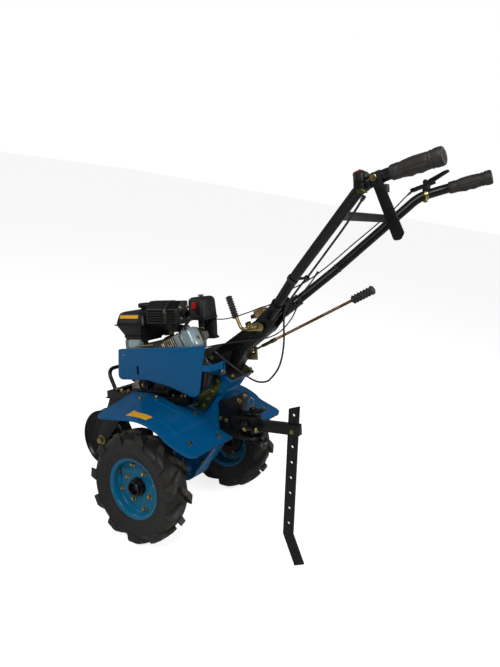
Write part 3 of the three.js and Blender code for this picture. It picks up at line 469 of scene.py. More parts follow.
def swept(route, radius, sides=20, radii=None):
    # a round bar along a route, its section carried without twist
    spots = [Vector(spot) for spot in route]
    normal = None
    loops = []
    for index, spot in enumerate(spots):
        ahead = spots[min(index + 1, len(spots) - 1)] - spots[max(index - 1, 0)]
        ahead.normalize()
        normal = axesFor(ahead)[1] if normal is None else (normal - ahead * normal.dot(ahead)).normalized()
        other = ahead.cross(normal)
        size = radii[index] if radii else radius
        loops.append([spot + size * (math.cos(turn) * normal + math.sin(turn) * other)
                      for turn in np.linspace(0, 2 * math.pi, sides, endpoint=False)])
    return stacked(loops)


def slab(outline, low, high, plane="xz"):
    # an outline given thickness: in side view (xz), plan (xy) or seen from the front (yz)
    order = {"xz": lambda a, b, c: (a, c, b), "xy": lambda a, b, c: (a, b, c),
             "yz": lambda a, b, c: (c, a, b)}
    spot = order[plane]
    return stacked([[spot(a, b, low) for a, b in outline], [spot(a, b, high) for a, b in outline]])


def block(xRange, yRange, zRange):
    outline = [(xRange[0], yRange[0]), (xRange[1], yRange[0]), (xRange[1], yRange[1]),
               (xRange[0], yRange[1])]
    return slab(outline, zRange[0], zRange[1], "xy")


def moved(shape, matrix):
    points, faces = shape
    return [tuple(matrix @ Vector(point)) for point in points], faces


def soften(shape, width, steps=2, angle=35):
    # rounds the edges that turn by more than an angle
    mesh = bpy.data.meshes.new("soften")
    mesh.from_pydata([tuple(point) for point in shape[0]], [], shape[1])
    work = bmesh.new()
    work.from_mesh(mesh)
    bmesh.ops.remove_doubles(work, verts=work.verts, dist=0.002)
    bmesh.ops.recalc_face_normals(work, faces=work.faces)
    limit = math.radians(angle)
    edges = [edge for edge in work.edges if len(edge.link_faces) == 2 and edge.calc_face_angle(0) > limit]
    bmesh.ops.bevel(work, geom=edges, offset=width, offset_type="OFFSET", segments=steps, profile=0.6,
                    affect="EDGES", clamp_overlap=True)
    work.verts.index_update()
    result = ([tuple(vertex.co) for vertex in work.verts],
              [tuple(vertex.index for vertex in face.verts) for face in work.faces])
    work.free()
    bpy.data.meshes.remove(mesh)
    return result


def bentRoute(corners, bendRadius, steps=8):
    # a route through corners, each rounded
    spots = [Vector(corner) for corner in corners]
    route = [spots[0]]
    for before, corner, after in zip(spots, spots[1:], spots[2:]):
        back, ahead = before - corner, after - corner
        turn = math.pi - back.angle(ahead)
        reach = min(bendRadius * math.tan(turn / 2), 0.45 * back.length, 0.45 * ahead.length)
        start, end = corner + back.normalized() * reach, corner + ahead.normalized() * reach
        for step in range(steps + 1):
            t = step / steps
            route.append((1 - t) ** 2 * start + 2 * t * (1 - t) * corner + t * t * end)
    route.append(spots[-1])
    return route


def smoothRoute(points, steps):
    # a smooth route through chosen points, evenly stepped
    spots = [Vector(point) for point in points]
    dense = []
    for index in range(len(spots) - 1):
        a, b = spots[max(index - 1, 0)], spots[index]
        c, d = spots[index + 1], spots[min(index + 2, len(spots) - 1)]
        for step in range(12):
            t = step / 12
            dense.append(0.5 * (2 * b + (c - a) * t + (2 * a - 5 * b + 4 * c - d) * t * t
                                + (3 * b - a - 3 * c + d) * t ** 3))
    dense.append(spots[-1])
    lengths = np.cumsum([0] + [(q - p).length for p, q in zip(dense, dense[1:])])
    flat = np.array([tuple(spot) for spot in dense])
    wanted = np.linspace(0, lengths[-1], steps)
    return [Vector([np.interp(want, lengths, flat[:, axis]) for axis in range(3)]) for want in wanted]


def hexBolt(place, direction, flats=13.0, washer=True, stud=0.0):
    # a hexagon head with its washer, standing on a face, the way it points given
    along, across, other = axesFor(direction)
    turn = Matrix((across, other, along)).transposed().to_4x4()
    radius = flats / math.sqrt(3)
    height = 0.58 * flats
    twist = random.uniform(0, math.pi / 3)

    def ring(size, z, sides):
        return [(size * math.cos(twist + 2 * math.pi * k / sides),
                 size * math.sin(twist + 2 * math.pi * k / sides), z)
                for k in range(sides)]
    base = 0.0
    shapes = []
    if washer:
        base = 0.14 * flats
        shapes.append(stacked([ring(0.78 * flats, -0.5, 24), ring(0.78 * flats, 0.8 * base, 24),
                               ring(0.73 * flats, base, 24)]))
    shapes.append(stacked([ring(radius, base - 0.2, 6), ring(radius, base + 0.86 * height, 6),
                           ring(0.88 * radius, base + height, 6)]))
    if stud:
        shapes.append(stacked([ring(0.3 * flats, base, 12),
                               ring(0.3 * flats, base + height + stud - 0.8, 12),
                               ring(0.24 * flats, base + height + stud, 12)]))
    return moved(joined(*shapes), Matrix.Translation(Vector(place)) @ turn)


def addPiece(name, body, layers, replaces=(), sharp=38, blend=None):
    # one object from (shape, material) layers, in the level frame, riding on a body, or fixed where it
    # stands when a blend is given
    points, faces, chosen, materials = [], [], [], []
    for shape, material in layers:
        if material not in materials:
            materials.append(material)
        start = len(points)
        points.extend(shape[0])
        faces.extend([tuple(start + index for index in face) for face in shape[1]])
        chosen.extend([materials.index(material)] * len(shape[1]))
    mesh = bpy.data.meshes.new(name)
    mesh.from_pydata(toRow([tuple(point) for point in points]).tolist(), [], faces)
    for material in materials:
        mesh.materials.append(material)
    mesh.polygons.foreach_set("material_index", chosen)
    work = bmesh.new()
    work.from_mesh(mesh)
    bmesh.ops.remove_doubles(work, verts=work.verts, dist=1e-6)
    bmesh.ops.recalc_face_normals(work, faces=work.faces)
    work.to_mesh(mesh)
    work.free()
    mesh.shade_smooth()
    mesh.set_sharp_from_angle(angle=math.radians(sharp))
    piece = bpy.data.objects.new(name, mesh)
    bpy.context.scene.collection.objects.link(piece)
    if blend:
        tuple(blend[0])
        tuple(blend[1])
        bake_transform(piece)
    else:
        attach(piece, body)
    if replaces:
        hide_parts(*replaces)
    return piece


def softCopy(node, width, extra=(), material=None, angle=30, suffix="finished"):
    # a CAD node's own shape with its edges rounded, and any extra layers on it
    source = frame["nodes"][node]
    work = bmesh.new()
    work.from_mesh(source.data)
    bmesh.ops.remove_doubles(work, verts=work.verts, dist=2e-6)
    bmesh.ops.dissolve_limit(work, angle_limit=math.radians(0.6), verts=work.verts, edges=work.edges)
    work.verts.index_update()
    points = toLevel([vertex.co for vertex in work.verts]).tolist()
    faces = [tuple(v.index for v in face.verts) for face in work.faces]
    work.free()
    shape = soften((points, faces), width, 2, angle) if width else (points, faces)
    layers = [(shape, material or nodeFinish[node])] + list(extra)
    return addPiece(f"{node}_{suffix}", source["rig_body"], layers, replaces=[node])


slotOf = {part["node"]: part["material_slot"] for part in frame["record"]["subparts"]}
slotFinish = {
    "blue_paint": blueSteel, "rim_paint": rimSteel, "black_paint": blackSteel, "black_plastic": blackPlastic,
    "black_rubber": sheathPlastic, "tyre_rubber": tyreBlack, "yellow_zinc": zincGold,
    "cast_aluminium": castMetal, "pale_cover": palePress, "dark_steel": darkSteel,
}
nodeFinish = {node: slotFinish[slot] for node, slot in slotOf.items()}
nodeFinish["gearbox_side_plate"] = zincOlive
nodeFinish["muffler"] = silencerSteel
nodeFinish["drive_belt"] = beltRubber
for node, thing in frame["nodes"].items():
    thing.data.materials.clear()
    thing.data.materials.append(nodeFinish[node])


# ---- floor, background and light ----
lightSetup = {"floorHalf": 40.0, "floorColour": "#e4e4e3", "floorGlow": 0.8, "skyStrength": 0.17}


def isSeen(tree):
    # 1 for camera and transmission rays, 0 for rays that light the machine or are mirrored in it
    path = addNode(tree, "ShaderNodeLightPath")
    return addNode(tree, "ShaderNodeMath", {"operation": "MAXIMUM"}, {
        0: path.outputs["Is Camera Ray"], 1: path.outputs["Is Transmission Ray"]}).outputs[0]


def addStage(setup):
    half = setup["floorHalf"]
    mesh = bpy.data.meshes.new("floor")
    mesh.from_pydata([(-half, -half, 0), (half, -half, 0), (half, half, 0), (-half, half, 0)], [],
                     [(0, 1, 2, 3)])
    floor = bpy.data.objects.new("floor", mesh)
    bpy.context.scene.collection.objects.link(floor)
    paper = bpy.data.materials.new("pale_paper_floor")
    paper.use_nodes = True
    tree = paper.node_tree
    tree.nodes.clear()
    matt = addNode(tree, "ShaderNodeBsdfDiffuse", inputs={"Color": linear(setup["floorColour"])})
    strength = addNode(tree, "ShaderNodeMath", {"operation": "MULTIPLY"}, {
        0: isSeen(tree), 1: setup["floorGlow"]})
    glow = addNode(tree, "ShaderNodeEmission", inputs={
        "Color": (1, 1, 1, 1), "Strength": strength.outputs[0]})
    both = addNode(tree, "ShaderNodeAddShader", inputs={0: matt.outputs[0], 1: glow.outputs[0]})
    addNode(tree, "ShaderNodeOutputMaterial", inputs={"Surface": both.outputs[0]})
    mesh.materials.append(paper)
    world = bpy.data.worlds.new("studio")
    bpy.context.scene.world = world
    world.use_nodes = True
    tree = world.node_tree
    tree.nodes.clear()
    seen = isSeen(tree)
    strength = addNode(tree, "ShaderNodeMapRange", inputs={
        "Value": seen, "To Min": setup["skyStrength"], "To Max": 1.0}).outputs["Result"]
    sky = addNode(tree, "ShaderNodeBackground", inputs={"Color": (1, 1, 1, 1), "Strength": strength})
    addNode(tree, "ShaderNodeOutputWorld", inputs={"Surface": sky.outputs[0]})


lamps = [
    {"name": "key", "place": (-0.9, 2.3, 3.0), "size": 1.4, "watts": 58},
    {"name": "front_fill", "place": (2.6, 1.6, 1.9), "size": 1.4, "watts": 17},
    {"name": "rear_fill", "place": (-2.6, -1.4, 2.4), "size": 1.6, "watts": 36},
]


def addLamp(setup):
    data = bpy.data.lights.new(setup["name"], "AREA")
    data.shape = "DISK"
    data.size = setup["size"]
    data.energy = setup["watts"]
    lamp = bpy.data.objects.new(setup["name"], data)
    bpy.context.scene.collection.objects.link(lamp)
    lamp.location = setup["place"]
    lamp.rotation_mode = "QUATERNION"
    lamp.rotation_quaternion = (Vector((0, 0, 0.55)) - lamp.location).to_track_quat("-Z", "Y")


addStage(lightSetup)
for lamp in lamps:
    addLamp(lamp)
bpy.context.scene.view_settings.view_transform = "Standard"
print("stage and lights set")


# ---- drive wheels ----
tyre = {
    "lugs": 11,
    "lugPhase": 12,  # degrees
    "lugLag": 58,  # how far a lug's shoulder trails its inner end, round the tread
    "lugHalf": 14.5,
    "lugRelief": 2.0,
    "ribRadius": 164,
    "crown": 190,
}
# the bolts and the valve by their radius and the angle of the first
rim = {"outerBolts": (82, 77), "innerBolts": (58, 31), "valve": (98, 38), "web": 8}


def onTread(radius, turn, y):
    return (radius * math.cos(turn), y, radius * math.sin(turn))


def lugShape(setup, start, side):
    # one bar of the tread, from the middle of the crown over the shoulder and down the side
    stations = [(-5, 0.0, 203, 0.85), (14, 0.22, 203, 0.9), (32, 0.55, 202, 1.0), (46, 0.84, 200, 1.15),
                (52.5, 1.0, 196, 1.25), (54.8, 1.04, 189, 1.3)]
    lag = setup["lugLag"] / 200
    loops = []
    for y, along, top, wide in stations:
        middle = start + along * lag
        half = wide * setup["lugHalf"] / 200
        base = 166 if y > 50 else 178
        loops.append([onTread(base, middle - half * 1.3, side * y), onTread(top, middle - half, side * y),
                      onTread(top, middle + half, side * y), onTread(base, middle + half * 1.3, side * y)])
    return soften(stacked(loops), setup["lugRelief"], 2, 40)


def carcassShape(setup):
    crown, rib = setup["crown"], setup["ribRadius"]
    half = [(102, 34), (104, 37), (117, 40), (121, 43.5), (124.5, 44.4), (127, 43.8), (129, 46), (142, 50.5),
            (rib - 3, 51.8), (rib, 53.4), (rib + 2, 51.8), (174, 49), (181, 43), (crown - 4, 31), (crown, 0)]
    inner = [(180, 0), (174, 34), (160, 43), (130, 40), (118, 34), (106, 26), (102, 24)]
    outline = half + [(r, -y) for r, y in half[-2::-1]] + [(r, -y) for r, y in inner[:0:-1]] + inner
    return turned(outline, (0, 0, 0), steps=96, closed=True)


def rimShape():
    web = rim["web"]
    half = [(121, 34), (119.5, 32.4), (116, 35.2), (107, 34.4), (103.2, 31), (101.4, 26), (100.8, 16)]
    outside = [(32, web - 5), (32, web), (88, web), (93, web + 1), (96, web + 4), (97.2, web + 9),
               (97.8, 30), (99.6, 34.5), (105, 38), (115, 39.2), (119.6, 38)]
    inside = [(119.6, -38), (115, -39.2), (105, -38), (99.6, -34.5), (97.8, -30), (97.2, web - 12),
              (95, web - 7), (91, web - 5)]
    outline = outside + half + [(r, -y) for r, y in half[::-1]] + inside
    return turned(outline, (0, 0, 0), steps=96, closed=True)


def hubShape():
    outline = [(19, -62), (27, -62), (27, -14), (31, -10), (64, -9.5), (66, -7.5), (66, -1), (64.5, 2.8),
               (33, 2.8), (33, 21), (31.8, 23.5), (27, 24.4), (26, 26), (26, 36.2), (24.5, 38), (21.5, 38),
               (20.4, 36.5), (20.4, 14), (18.8, 12), (18.8, -61)]
    return turned(outline, (0, 0, 0), steps=64, closed=True)


def aroundAxle(radius, angle, y):
    turn = math.radians(angle)
    return (radius * math.cos(turn), y, radius * math.sin(turn))


def wheelBolts(setup, side):
    bolts = []
    for radius, first in (setup["outerBolts"], setup["innerBolts"]):
        for step in range(4):
            spot = aroundAxle(radius, side * (first + 90 * step), side * (setup["web"] - 0.2))
            bolts.append(hexBolt(spot, (0, side, 0), 13, stud=2))
            back = -9.5 if radius < 64 else setup["web"] - 5
            inside = aroundAxle(radius, side * (first + 90 * step), side * back)
            bolts.append(hexBolt(inside, (0, -side, 0), 13, False, stud=5))
    return joined(*bolts)


def addDriveWheel(name, side, middle):
    across = Matrix.Translation((0, middle, 0))
    flip = across @ Matrix.Rotation(0 if side > 0 else math.pi, 4, "Z")
    lugs = []
    for step in range(2 * tyre["lugs"]):
        start = math.radians(tyre["lugPhase"]) + math.pi * step / tyre["lugs"]
        lugs.append(lugShape(tyre, start, 1 if step % 2 else -1))
    addPiece(f"{name}_lugged_tyre", "drive_wheels",
             [(moved(joined(carcassShape(tyre), *lugs), across), tyreBlack)], [f"{name}_tyre"], sharp=34)
    radius, angle = rim["valve"]
    valve = aroundAxle(radius - 5, side * angle, side * 20)
    stem = swept([aroundAxle(radius + 3, side * angle, side * 12), valve,
                  aroundAxle(radius - 18, side * angle, side * 30)], 3.6, 12)
    cap = swept([aroundAxle(radius - 14, side * angle, side * 27.5),
                 aroundAxle(radius - 24, side * angle, side * 33.5)], 4.6, 12)
    addPiece(f"{name}_wheel_rim", "drive_wheels",
             [(moved(rimShape(), flip), rimSteel), (moved(joined(stem, cap), across), gripRubber)],
             [f"{name}_rim"])
    addPiece(f"{name}_wheel_hub", "drive_wheels", [(moved(hubShape(), flip), blackSteel)],
             [f"{name}_hub"])
    addPiece(f"{name}_wheel_bolts", "drive_wheels",
             [(moved(wheelBolts(rim, side), across), zincGold)])


for name, side in (("left", 1), ("right", -1)):
    low, high = levelBox(f"{name}_tyre")
    addDriveWheel(name, side, (low[1] + high[1]) / 2)
print("drive wheels made")


# ---- transport wheel and its fork ----
frontWheel = {"radius": 126, "half": 29, "hub": 20}


def frontWheelShape(setup):
    radius, half, hub = setup["radius"], setup["half"], setup["hub"]
    side = [(hub - 11, -18), (hub - 2, -18.5), (hub, -16), (hub + 1, -6), (hub + 6, -3.5), (62, -3),
            (88, -4), (96, -7), (108, -15), (116, -23), (118, -27), (121, -half), (124, -half),
            (radius, -half + 2.5), (radius - 0.6, -half + 6), (radius - 2.4, -half + 8)]
    outline = side + [(r, -y) for r, y in side[::-1]]
    return turned(outline, (0, 0, 0), steps=128, closed=True)


joint = joints["front_wheel_turn"]
frontAxle = toLevel([joint["pos_m"]])[0]
addPiece("transport_wheel_dish", "front_wheel",
         [(moved(frontWheelShape(frontWheel), Matrix.Translation(Vector(frontAxle))), blackSteel)],
         ["front_wheel"])
frontX, _, frontZ = frontAxle
forkBolts = [hexBolt((frontX, side * 39.5, frontZ), (0, side, 0), 26, stud=4 if side < 0 else 0)
             for side in (1, -1)]
softCopy("front_fork", 1.2, [(joined(*forkBolts), zincGold)])
print("transport wheel made")


# ---- fenders ----
fender = {
    "sheet": 2.4,
    "lip": 9.0,
    "cornerRadius": 34,
    "innerRib": (132, 3.2),  # Y of the pressed line, and how far it stands up
    "outerRib": (236, 2.6),
    "ribRun": (0.3, 0.8),  # where the ribs start and end, as shares of the length
    "label": (0.3, 0.49, 232, 276),
    "raise": (42, -70, 100),  # how far the inner edge stands up beside the bed, and the X it grows between
    "bedSide": (91.5, 93),  # Y of the bed's side, and where the sheet is at its full height
    "innerRibRows": (-9, -5, -2, 2, 5, 9),  # extra rows of the mesh beside each rib and the rolled edge
    "outerRibRows": (-7, -4, -1.5, 1.5, 4, 7),
    "edgeRows": (9, 5, 2.4, 0.9),
}


def fenderRoute(low, high, top):
    # side view from the front edge to the rear edge, every few millimetres
    radius = top
    points = [(high - 0.6, radius - 7), (24, radius - 1)]
    for turn in np.radians(np.linspace(88, 132, 9)):
        points.append((radius * math.cos(turn), radius * math.sin(turn)))
    points.append((low + 12, 143))
    route = smoothRoute([(x, 0, z) for x, z in points], 73)
    return [(spot.x, spot.z) for spot in route]


def fenderShape(setup, name, side):
    (xLow, yLow, _), (xHigh, yHigh, top) = levelBox(f"{name}_fender")
    inner, outer = sorted((abs(yLow), abs(yHigh)))
    line = fenderRoute(xLow, xHigh, top)
    lengths = np.cumsum([0] + [math.dist(a, b) for a, b in zip(line, line[1:])])
    total = lengths[-1]
    corner = setup["cornerRadius"]
    innerRib, innerHeight = setup["innerRib"]
    outerRib, outerHeight = setup["outerRib"]
    ribStart, ribEnd = setup["ribRun"]
    bedSide, fullHeight = setup["bedSide"]
    across = sorted({*np.linspace(inner, outer, 25), bedSide, fullHeight,
                     *(innerRib + d for d in setup["innerRibRows"]),
                     *(outerRib + d for d in setup["outerRibRows"]),
                     *(outer - d for d in setup["edgeRows"])})

    def outerAt(s):
        # where the outer edge runs, with its two rounded corners
        near = min(s, total - s)
        if near >= corner:
            return outer
        return outer - corner + math.sqrt(max(corner ** 2 - (corner - near) ** 2, 0))

    def raised(share, y):
        run = min(max((share - ribStart) / 0.04, 0), max((ribEnd - share) / 0.04, 0), 1)
        first = innerHeight / (1 + ((y - innerRib) / 3.5) ** 4) * run
        second = outerHeight / (1 + ((y - outerRib) / 2.8) ** 4) * run
        return max(first, second)

    def spot(row, y, depth):
        x, z = line[row]
        (xa, za), (xb, zb) = line[max(row - 1, 0)], line[min(row + 1, len(line) - 1)]
        length = math.dist((xa, za), (xb, zb))
        # the normal points down and in, as the line runs to the rear
        normal = (-(zb - za) / length, (xb - xa) / length)
        if normal[1] > 0:
            normal = (-normal[0], -normal[1])
        most, rearX, frontX = setup["raise"]
        grown = min(max((x - rearX) / (frontX - rearX), 0), 1)
        inboard = min(max((y - bedSide) / (fullHeight - bedSide), 0), 1) * (outer - y) / (outer - fullHeight)
        lift = most * grown * grown * (3 - 2 * grown) * inboard
        return (x + normal[0] * depth, side * y, z + normal[1] * depth + lift)

    drop = [(0.7, 1.2), (0, 3.2), (0, setup["lip"])]  # how far short of the edge, and how deep
    rows = [(0, d) for d in (setup["lip"] * 0.6, 2.4)] + [(row, 0) for row in range(len(line))]
    rows += [(len(line) - 1, d) for d in (2.4, setup["lip"] * 0.6)]

    def surface(extra):
        grid = []
        for row, endDepth in rows:
            edge = outerAt(lengths[row])
            share = lengths[row] / total
            cells = []
            for y in across[:-1]:
                wide = min(y, edge - 1.6 - (outer - y) * 0.02)
                cells.append(spot(row, wide, extra + endDepth - (0 if endDepth else raised(share, wide))))
            for back, depth in drop:
                cells.append(spot(row, edge - back - extra, max(extra * (depth < 3), endDepth) + depth
                                  - (extra if depth > 3 else 0)))
            grid.append(cells)
        return grid

    upper, under = surface(0), surface(setup["sheet"])
    wide = len(upper[0])
    points = [point for grid in (upper, under) for cells in grid for point in cells]
    offset = wide * len(rows)
    faces = []
    for layer in (0, offset):
        for row in range(len(rows) - 1):
            for cell in range(wide - 1):
                a = layer + row * wide + cell
                faces.append((a, a + 1, a + wide + 1, a + wide))
    border = [row * wide for row in range(len(rows))]
    border += [(len(rows) - 1) * wide + cell for cell in range(1, wide)]
    border += [row * wide + wide - 1 for row in range(len(rows) - 2, -1, -1)]
    border += list(range(wide - 2, 0, -1))
    for a, b in zip(border, border[1:] + border[:1]):
        faces.append((a, b, b + offset, a + offset))

    def onSheet(share, y, above=0.0):
        row = int(np.argmin(abs(lengths - share * total)))
        return spot(row, y, -above)

    def patch(share, y):
        # a thin blank label that follows the sheet
        rowsHere = [int(np.argmin(abs(lengths - s * total))) for s in np.linspace(share[0], share[1], 9)]
        loops = [[spot(row, y[0], -0.1), spot(row, y[1], -0.1), spot(row, y[1], -0.7), spot(row, y[0], -0.7)]
                 for row in rowsHere]
        return stacked(loops)
    return (points, faces), onSheet, patch


fenderBolts = [(0.2, 150), (0.3, 112), (0.64, 78), (0.93, 104), (0.88, 238)]
for name, side in (("left", 1), ("right", -1)):
    sheet, onSheet, patch = fenderShape(fender, name, side)
    layers = [(sheet, blueSteel)]
    bolts = []
    for share, y in fenderBolts:
        place = Vector(onSheet(share, y, -0.3))
        above = Vector(onSheet(share, y, 10)) - place
        bolts.append(hexBolt(place, above, 12))
    shareLow, shareHigh, yLow, yHigh = fender["label"]
    layers.append((patch((shareLow, shareHigh), (yLow, yHigh)), yellowLabel))
    layers.append((joined(*bolts), zincGold))
    addPiece(f"{name}_fender_pressing", "root", layers, [f"{name}_fender"], sharp=40)
print("fenders made")


# ---- belt guard ----
guard = {"sheet": 2.5, "bend": 3.6, "flange": 16}


def insetLoop(outline, depth):
    # a closed side-view outline moved in by a distance
    count = len(outline)
    area = sum(outline[k][0] * outline[(k + 1) % count][1] - outline[(k + 1) % count][0] * outline[k][1]
               for k in range(count))
    turn = 1 if area > 0 else -1
    result = []
    for k in range(count):
        before, here, after = (Vector(outline[(k + d) % count]) for d in (-1, 0, 1))
        a, b = (here - before).normalized(), (after - here).normalized()
        na, nb = Vector((-a.y, a.x)) * turn, Vector((-b.y, b.x)) * turn
        miter = (na + nb).normalized()
        result.append(tuple(here + miter * depth / max(miter.dot(na), 0.5)))
    return result


def roundedOutline(corners, radius, steps=4):
    # a closed outline with every corner rounded
    result = []
    count = len(corners)
    for k in range(count):
        before, here, after = (Vector(corners[(k + d) % count]) for d in (-1, 0, 1))
        size = radius[k] if isinstance(radius, (list, tuple)) else radius
        back, ahead = (before - here), (after - here)
        turn = math.pi - back.angle(ahead)
        reach = min(size * math.tan(turn / 2), 0.48 * back.length, 0.48 * ahead.length)
        start, end = here + back.normalized() * reach, here + ahead.normalized() * reach
        for step in range(steps + 1):
            t = step / steps
            result.append(tuple((1 - t) ** 2 * start + 2 * t * (1 - t) * here + t * t * end))
    return result


def divided(outline, longest):
    # the same outline with more points on its long edges
    result = []
    for here, after in zip(outline, outline[1:] + outline[:1]):
        count = max(1, math.ceil(math.dist(here, after) / longest))
        result += [tuple(Vector(here).lerp(Vector(after), step / count)) for step in range(count)]
    return result


def guardShape(setup):
    # the guard's face with its edges turned in all round, open at the back
    low, high = levelBox("belt_guard")
    front, rear, top = high[0], low[0], high[2]
    corners = [(front - 13, top - 24), (rear, top), (rear + 36, low[2] + 28), (rear + 42, low[2] + 11),
               (rear + 56, low[2]), (rear + 78, low[2]), (rear + 169, low[2] + 30),
               (rear + 285, low[2] + 48), (front - 19, low[2] + 42), (front - 5, low[2] + 47),
               (front, low[2] + 59)]
    loop = divided(roundedOutline(corners, [4, 4, 20, 12, 12, 14, 30, 30, 12, 10, 10], 4), 40)
    outer, bend = high[1], setup["bend"]
    loops = []
    for share in (0, 0.3, 0.6, 0.85, 1):
        turn = share * math.pi / 2
        inset = insetLoop(loop, bend * (1 - math.sin(turn))) if share < 1 else loop
        loops.append([(x, outer - bend * (1 - math.cos(turn)), z) for x, z in inset])
    depthAt = []
    for x, z in loop:
        depthAt.append(low[1] if x > front - 12 else outer - (8 if x < rear + 45 else setup["flange"]))
    loops.append([(x, y, z) for (x, z), y in zip(loop, depthAt)])
    inner = insetLoop(loop, setup["sheet"])
    loops.append([(x, y, z) for (x, z), y in zip(inner, depthAt)])
    loops.append([(x, outer - setup["sheet"], z) for x, z in inner])
    return stacked(loops)


low, high = levelBox("belt_guard")
face = high[1]
# the slot is not cut: a near-black slab on the face stands for it, painted shade
slotX, slotZ = low[0] + 318, (low[2] + high[2]) / 2 - 8
slotOutline = roundedOutline([(slotX - 4.5, slotZ - 17), (slotX + 4.5, slotZ - 17),
                              (slotX + 4.5, slotZ + 17), (slotX - 4.5, slotZ + 17)], 4)
guardSlotShade = slab(slotOutline, face - 1, face + 0.4)
dot = turned([(0, face - 1), (2.6, face - 1), (2.6, face + 0.3), (0, face + 0.3)],
             (high[0] - 40, 0, high[2] - 44), steps=16)
addPiece("belt_guard_cover", "root",
         [(guardShape(guard), blueSteel), (guardSlotShade, paintedOpeningShade), (dot, palePress)],
         ["belt_guard"], sharp=44)

(strapRear, strapIn, strapLow), (_, _, strapHigh) = levelBox("guard_strap")
strapMiddle = (strapLow + strapHigh) / 2
strapBolt = hexBolt((strapRear - 0.2, strapIn + 16, strapMiddle - 14), (-1, 0, 0), 11, stud=3)
# the strap's slot is not cut: a near-black slab on it is its painted shade
strapSlotShade = slab(roundedOutline([(strapIn + 8, strapMiddle - 4), (strapIn + 13, strapMiddle - 4),
                                (strapIn + 13, strapMiddle + 18), (strapIn + 8, strapMiddle + 18)], 2.4),
                strapRear - 0.2, strapRear + 0.5, "yz")
softCopy("guard_strap", 0.7, [(strapBolt, zincGold), (strapSlotShade, paintedOpeningShade)])
print("belt guard made")


# ---- gearbox with its bolts ----
def boltRow(start, end, count, direction, flats, stud=0.0):
    # bolts evenly along a line
    return [hexBolt(Vector(start).lerp(Vector(end), k / max(count - 1, 1)), direction, flats, stud=stud)
            for k in range(count)]


sidePlateFace = levelBox("gearbox_side_plate")[1][1]
bearingBolts = []
for side in (1, -1):
    for turn in np.radians(np.arange(20, 380, 60)):
        bearingBolts.append(hexBolt((42 * math.cos(turn), side * 72, 42 * math.sin(turn)), (0, side, 0), 10))
lobes = []
for x, z in ((-30, 214), (-84, 335), (-176, 150), (-100, 20)):
    for side in (1, -1):
        lobes.append(hexBolt((x, side * 41.6, z), (0, side, 0), 10))
softCopy("gearbox_housing", 2.2, [(joined(*bearingBolts, *lobes), zincGold)])
plateLow, plateHigh = levelBox("gearbox_side_plate")
boltSpots = [(plateLow[0] + 16, plateHigh[2] - 22), (plateHigh[0] - 14, plateLow[2] + 20)]
boltSpots[1:1] = [(plateLow[0] + x, plateLow[2] + z) for x, z in ((36, 78), (62, 46), (84, 18))]
plateBolts = [hexBolt((x, sidePlateFace - 0.2, z), (0, 1, 0), 10) for x, z in boltSpots]
softCopy("gearbox_side_plate", 0.8, [(joined(*plateBolts), zincGold)])
caseTopRear, caseTopFront = Vector((-282, 0, 357)), Vector((-146, 0, 450))
slopeAlong = (caseTopFront - caseTopRear).normalized()
slopeUp = Vector((-slopeAlong.z, 0, slopeAlong.x))
baseBolts = []
for y in (-58, 58):
    for along in (8, 58, 112, 158):
        place = caseTopRear + slopeAlong * along + slopeUp * 8.8
        baseBolts.append(hexBolt((place.x, y, place.z), slopeUp, 11))
softCopy("column_base", 1.0, [(joined(*baseBolts), zincGold)])

# the post: a welded box section with two gussets at its foot
postHigh = levelBox("handlebar_post")[1]
gussets = []
for side in (1, -1):
    rearFoot = caseTopRear + slopeAlong * 40 + slopeUp * 9.4
    frontFoot = caseTopRear + slopeAlong * 118 + slopeUp * 9.4
    tip = rearFoot.lerp(frontFoot, 0.35) + slopeUp * 62
    spots = [(rearFoot.x, rearFoot.z), (frontFoot.x, frontFoot.z), (tip.x, tip.z)]
    plate = slab(spots, -2, 2)
    lean = [(x, side * (postHigh[1] + 22) + y if z < tip.z - 20 else side * (postHigh[1] + 0.5) + y, z)
            for x, y, z in plate[0]]
    gussets.append((lean, plate[1]))
softCopy("handlebar_post", 2.4, [(joined(*gussets), blackSteel)])
for node, width in (("engine_bed", 1.6), ("engine_plate", 1.4)):
    lowHere, highHere = levelBox(node)
    extra = []
    if node == "engine_bed":
        for y in (lowHere[1] + 15, highHere[1] - 15):
            for x in (lowHere[0] + 40, highHere[0] - 110):
                extra += boltRow((x, y, highHere[2]), (x + 40, y, highHere[2]), 2, (0, 0, 1), 13)
    else:
        for y in (lowHere[1] + 10, highHere[1] - 10):
            extra += boltRow((lowHere[0] + 12, y, highHere[2]), (highHere[0] - 12, y, highHere[2]), 2,
                             (0, 0, 1), 13, stud=6)
    softCopy(node, width, [(joined(*extra), zincGold)])


bumper = {"reach": 80, "radius": 8, "bend": 40, "foot": 6}


def bumperShape(setup):
    (xLow, _, zLow), (xHigh, _, zHigh) = levelBox("front_bumper")
    reach, radius, foot = setup["reach"], setup["radius"], zLow + setup["foot"]
    route = bentRoute([(xLow + 16, reach, foot), (xHigh - radius, reach, zHigh - radius),
                       (xHigh - radius, -reach, zHigh - radius), (xLow + 16, -reach, foot)],
                      setup["bend"], 12)
    pads = [soften(block((xLow, xLow + 32), (y - 13, y + 13), (zLow, foot)), 2) for y in (reach, -reach)]
    bolts = [hexBolt((xLow + 7, y, foot), (0, 0, 1), 11) for y in (reach, -reach)]
    return joined(swept(route, radius, 24), *pads), joined(*bolts)


bumperTube, bumperBolts = bumperShape(bumper)
addPiece("front_bumper_hoop", "root", [(bumperTube, blackSteel), (bumperBolts, zincGold)],
         ["front_bumper"])
print("gearbox, bed and bumper made")


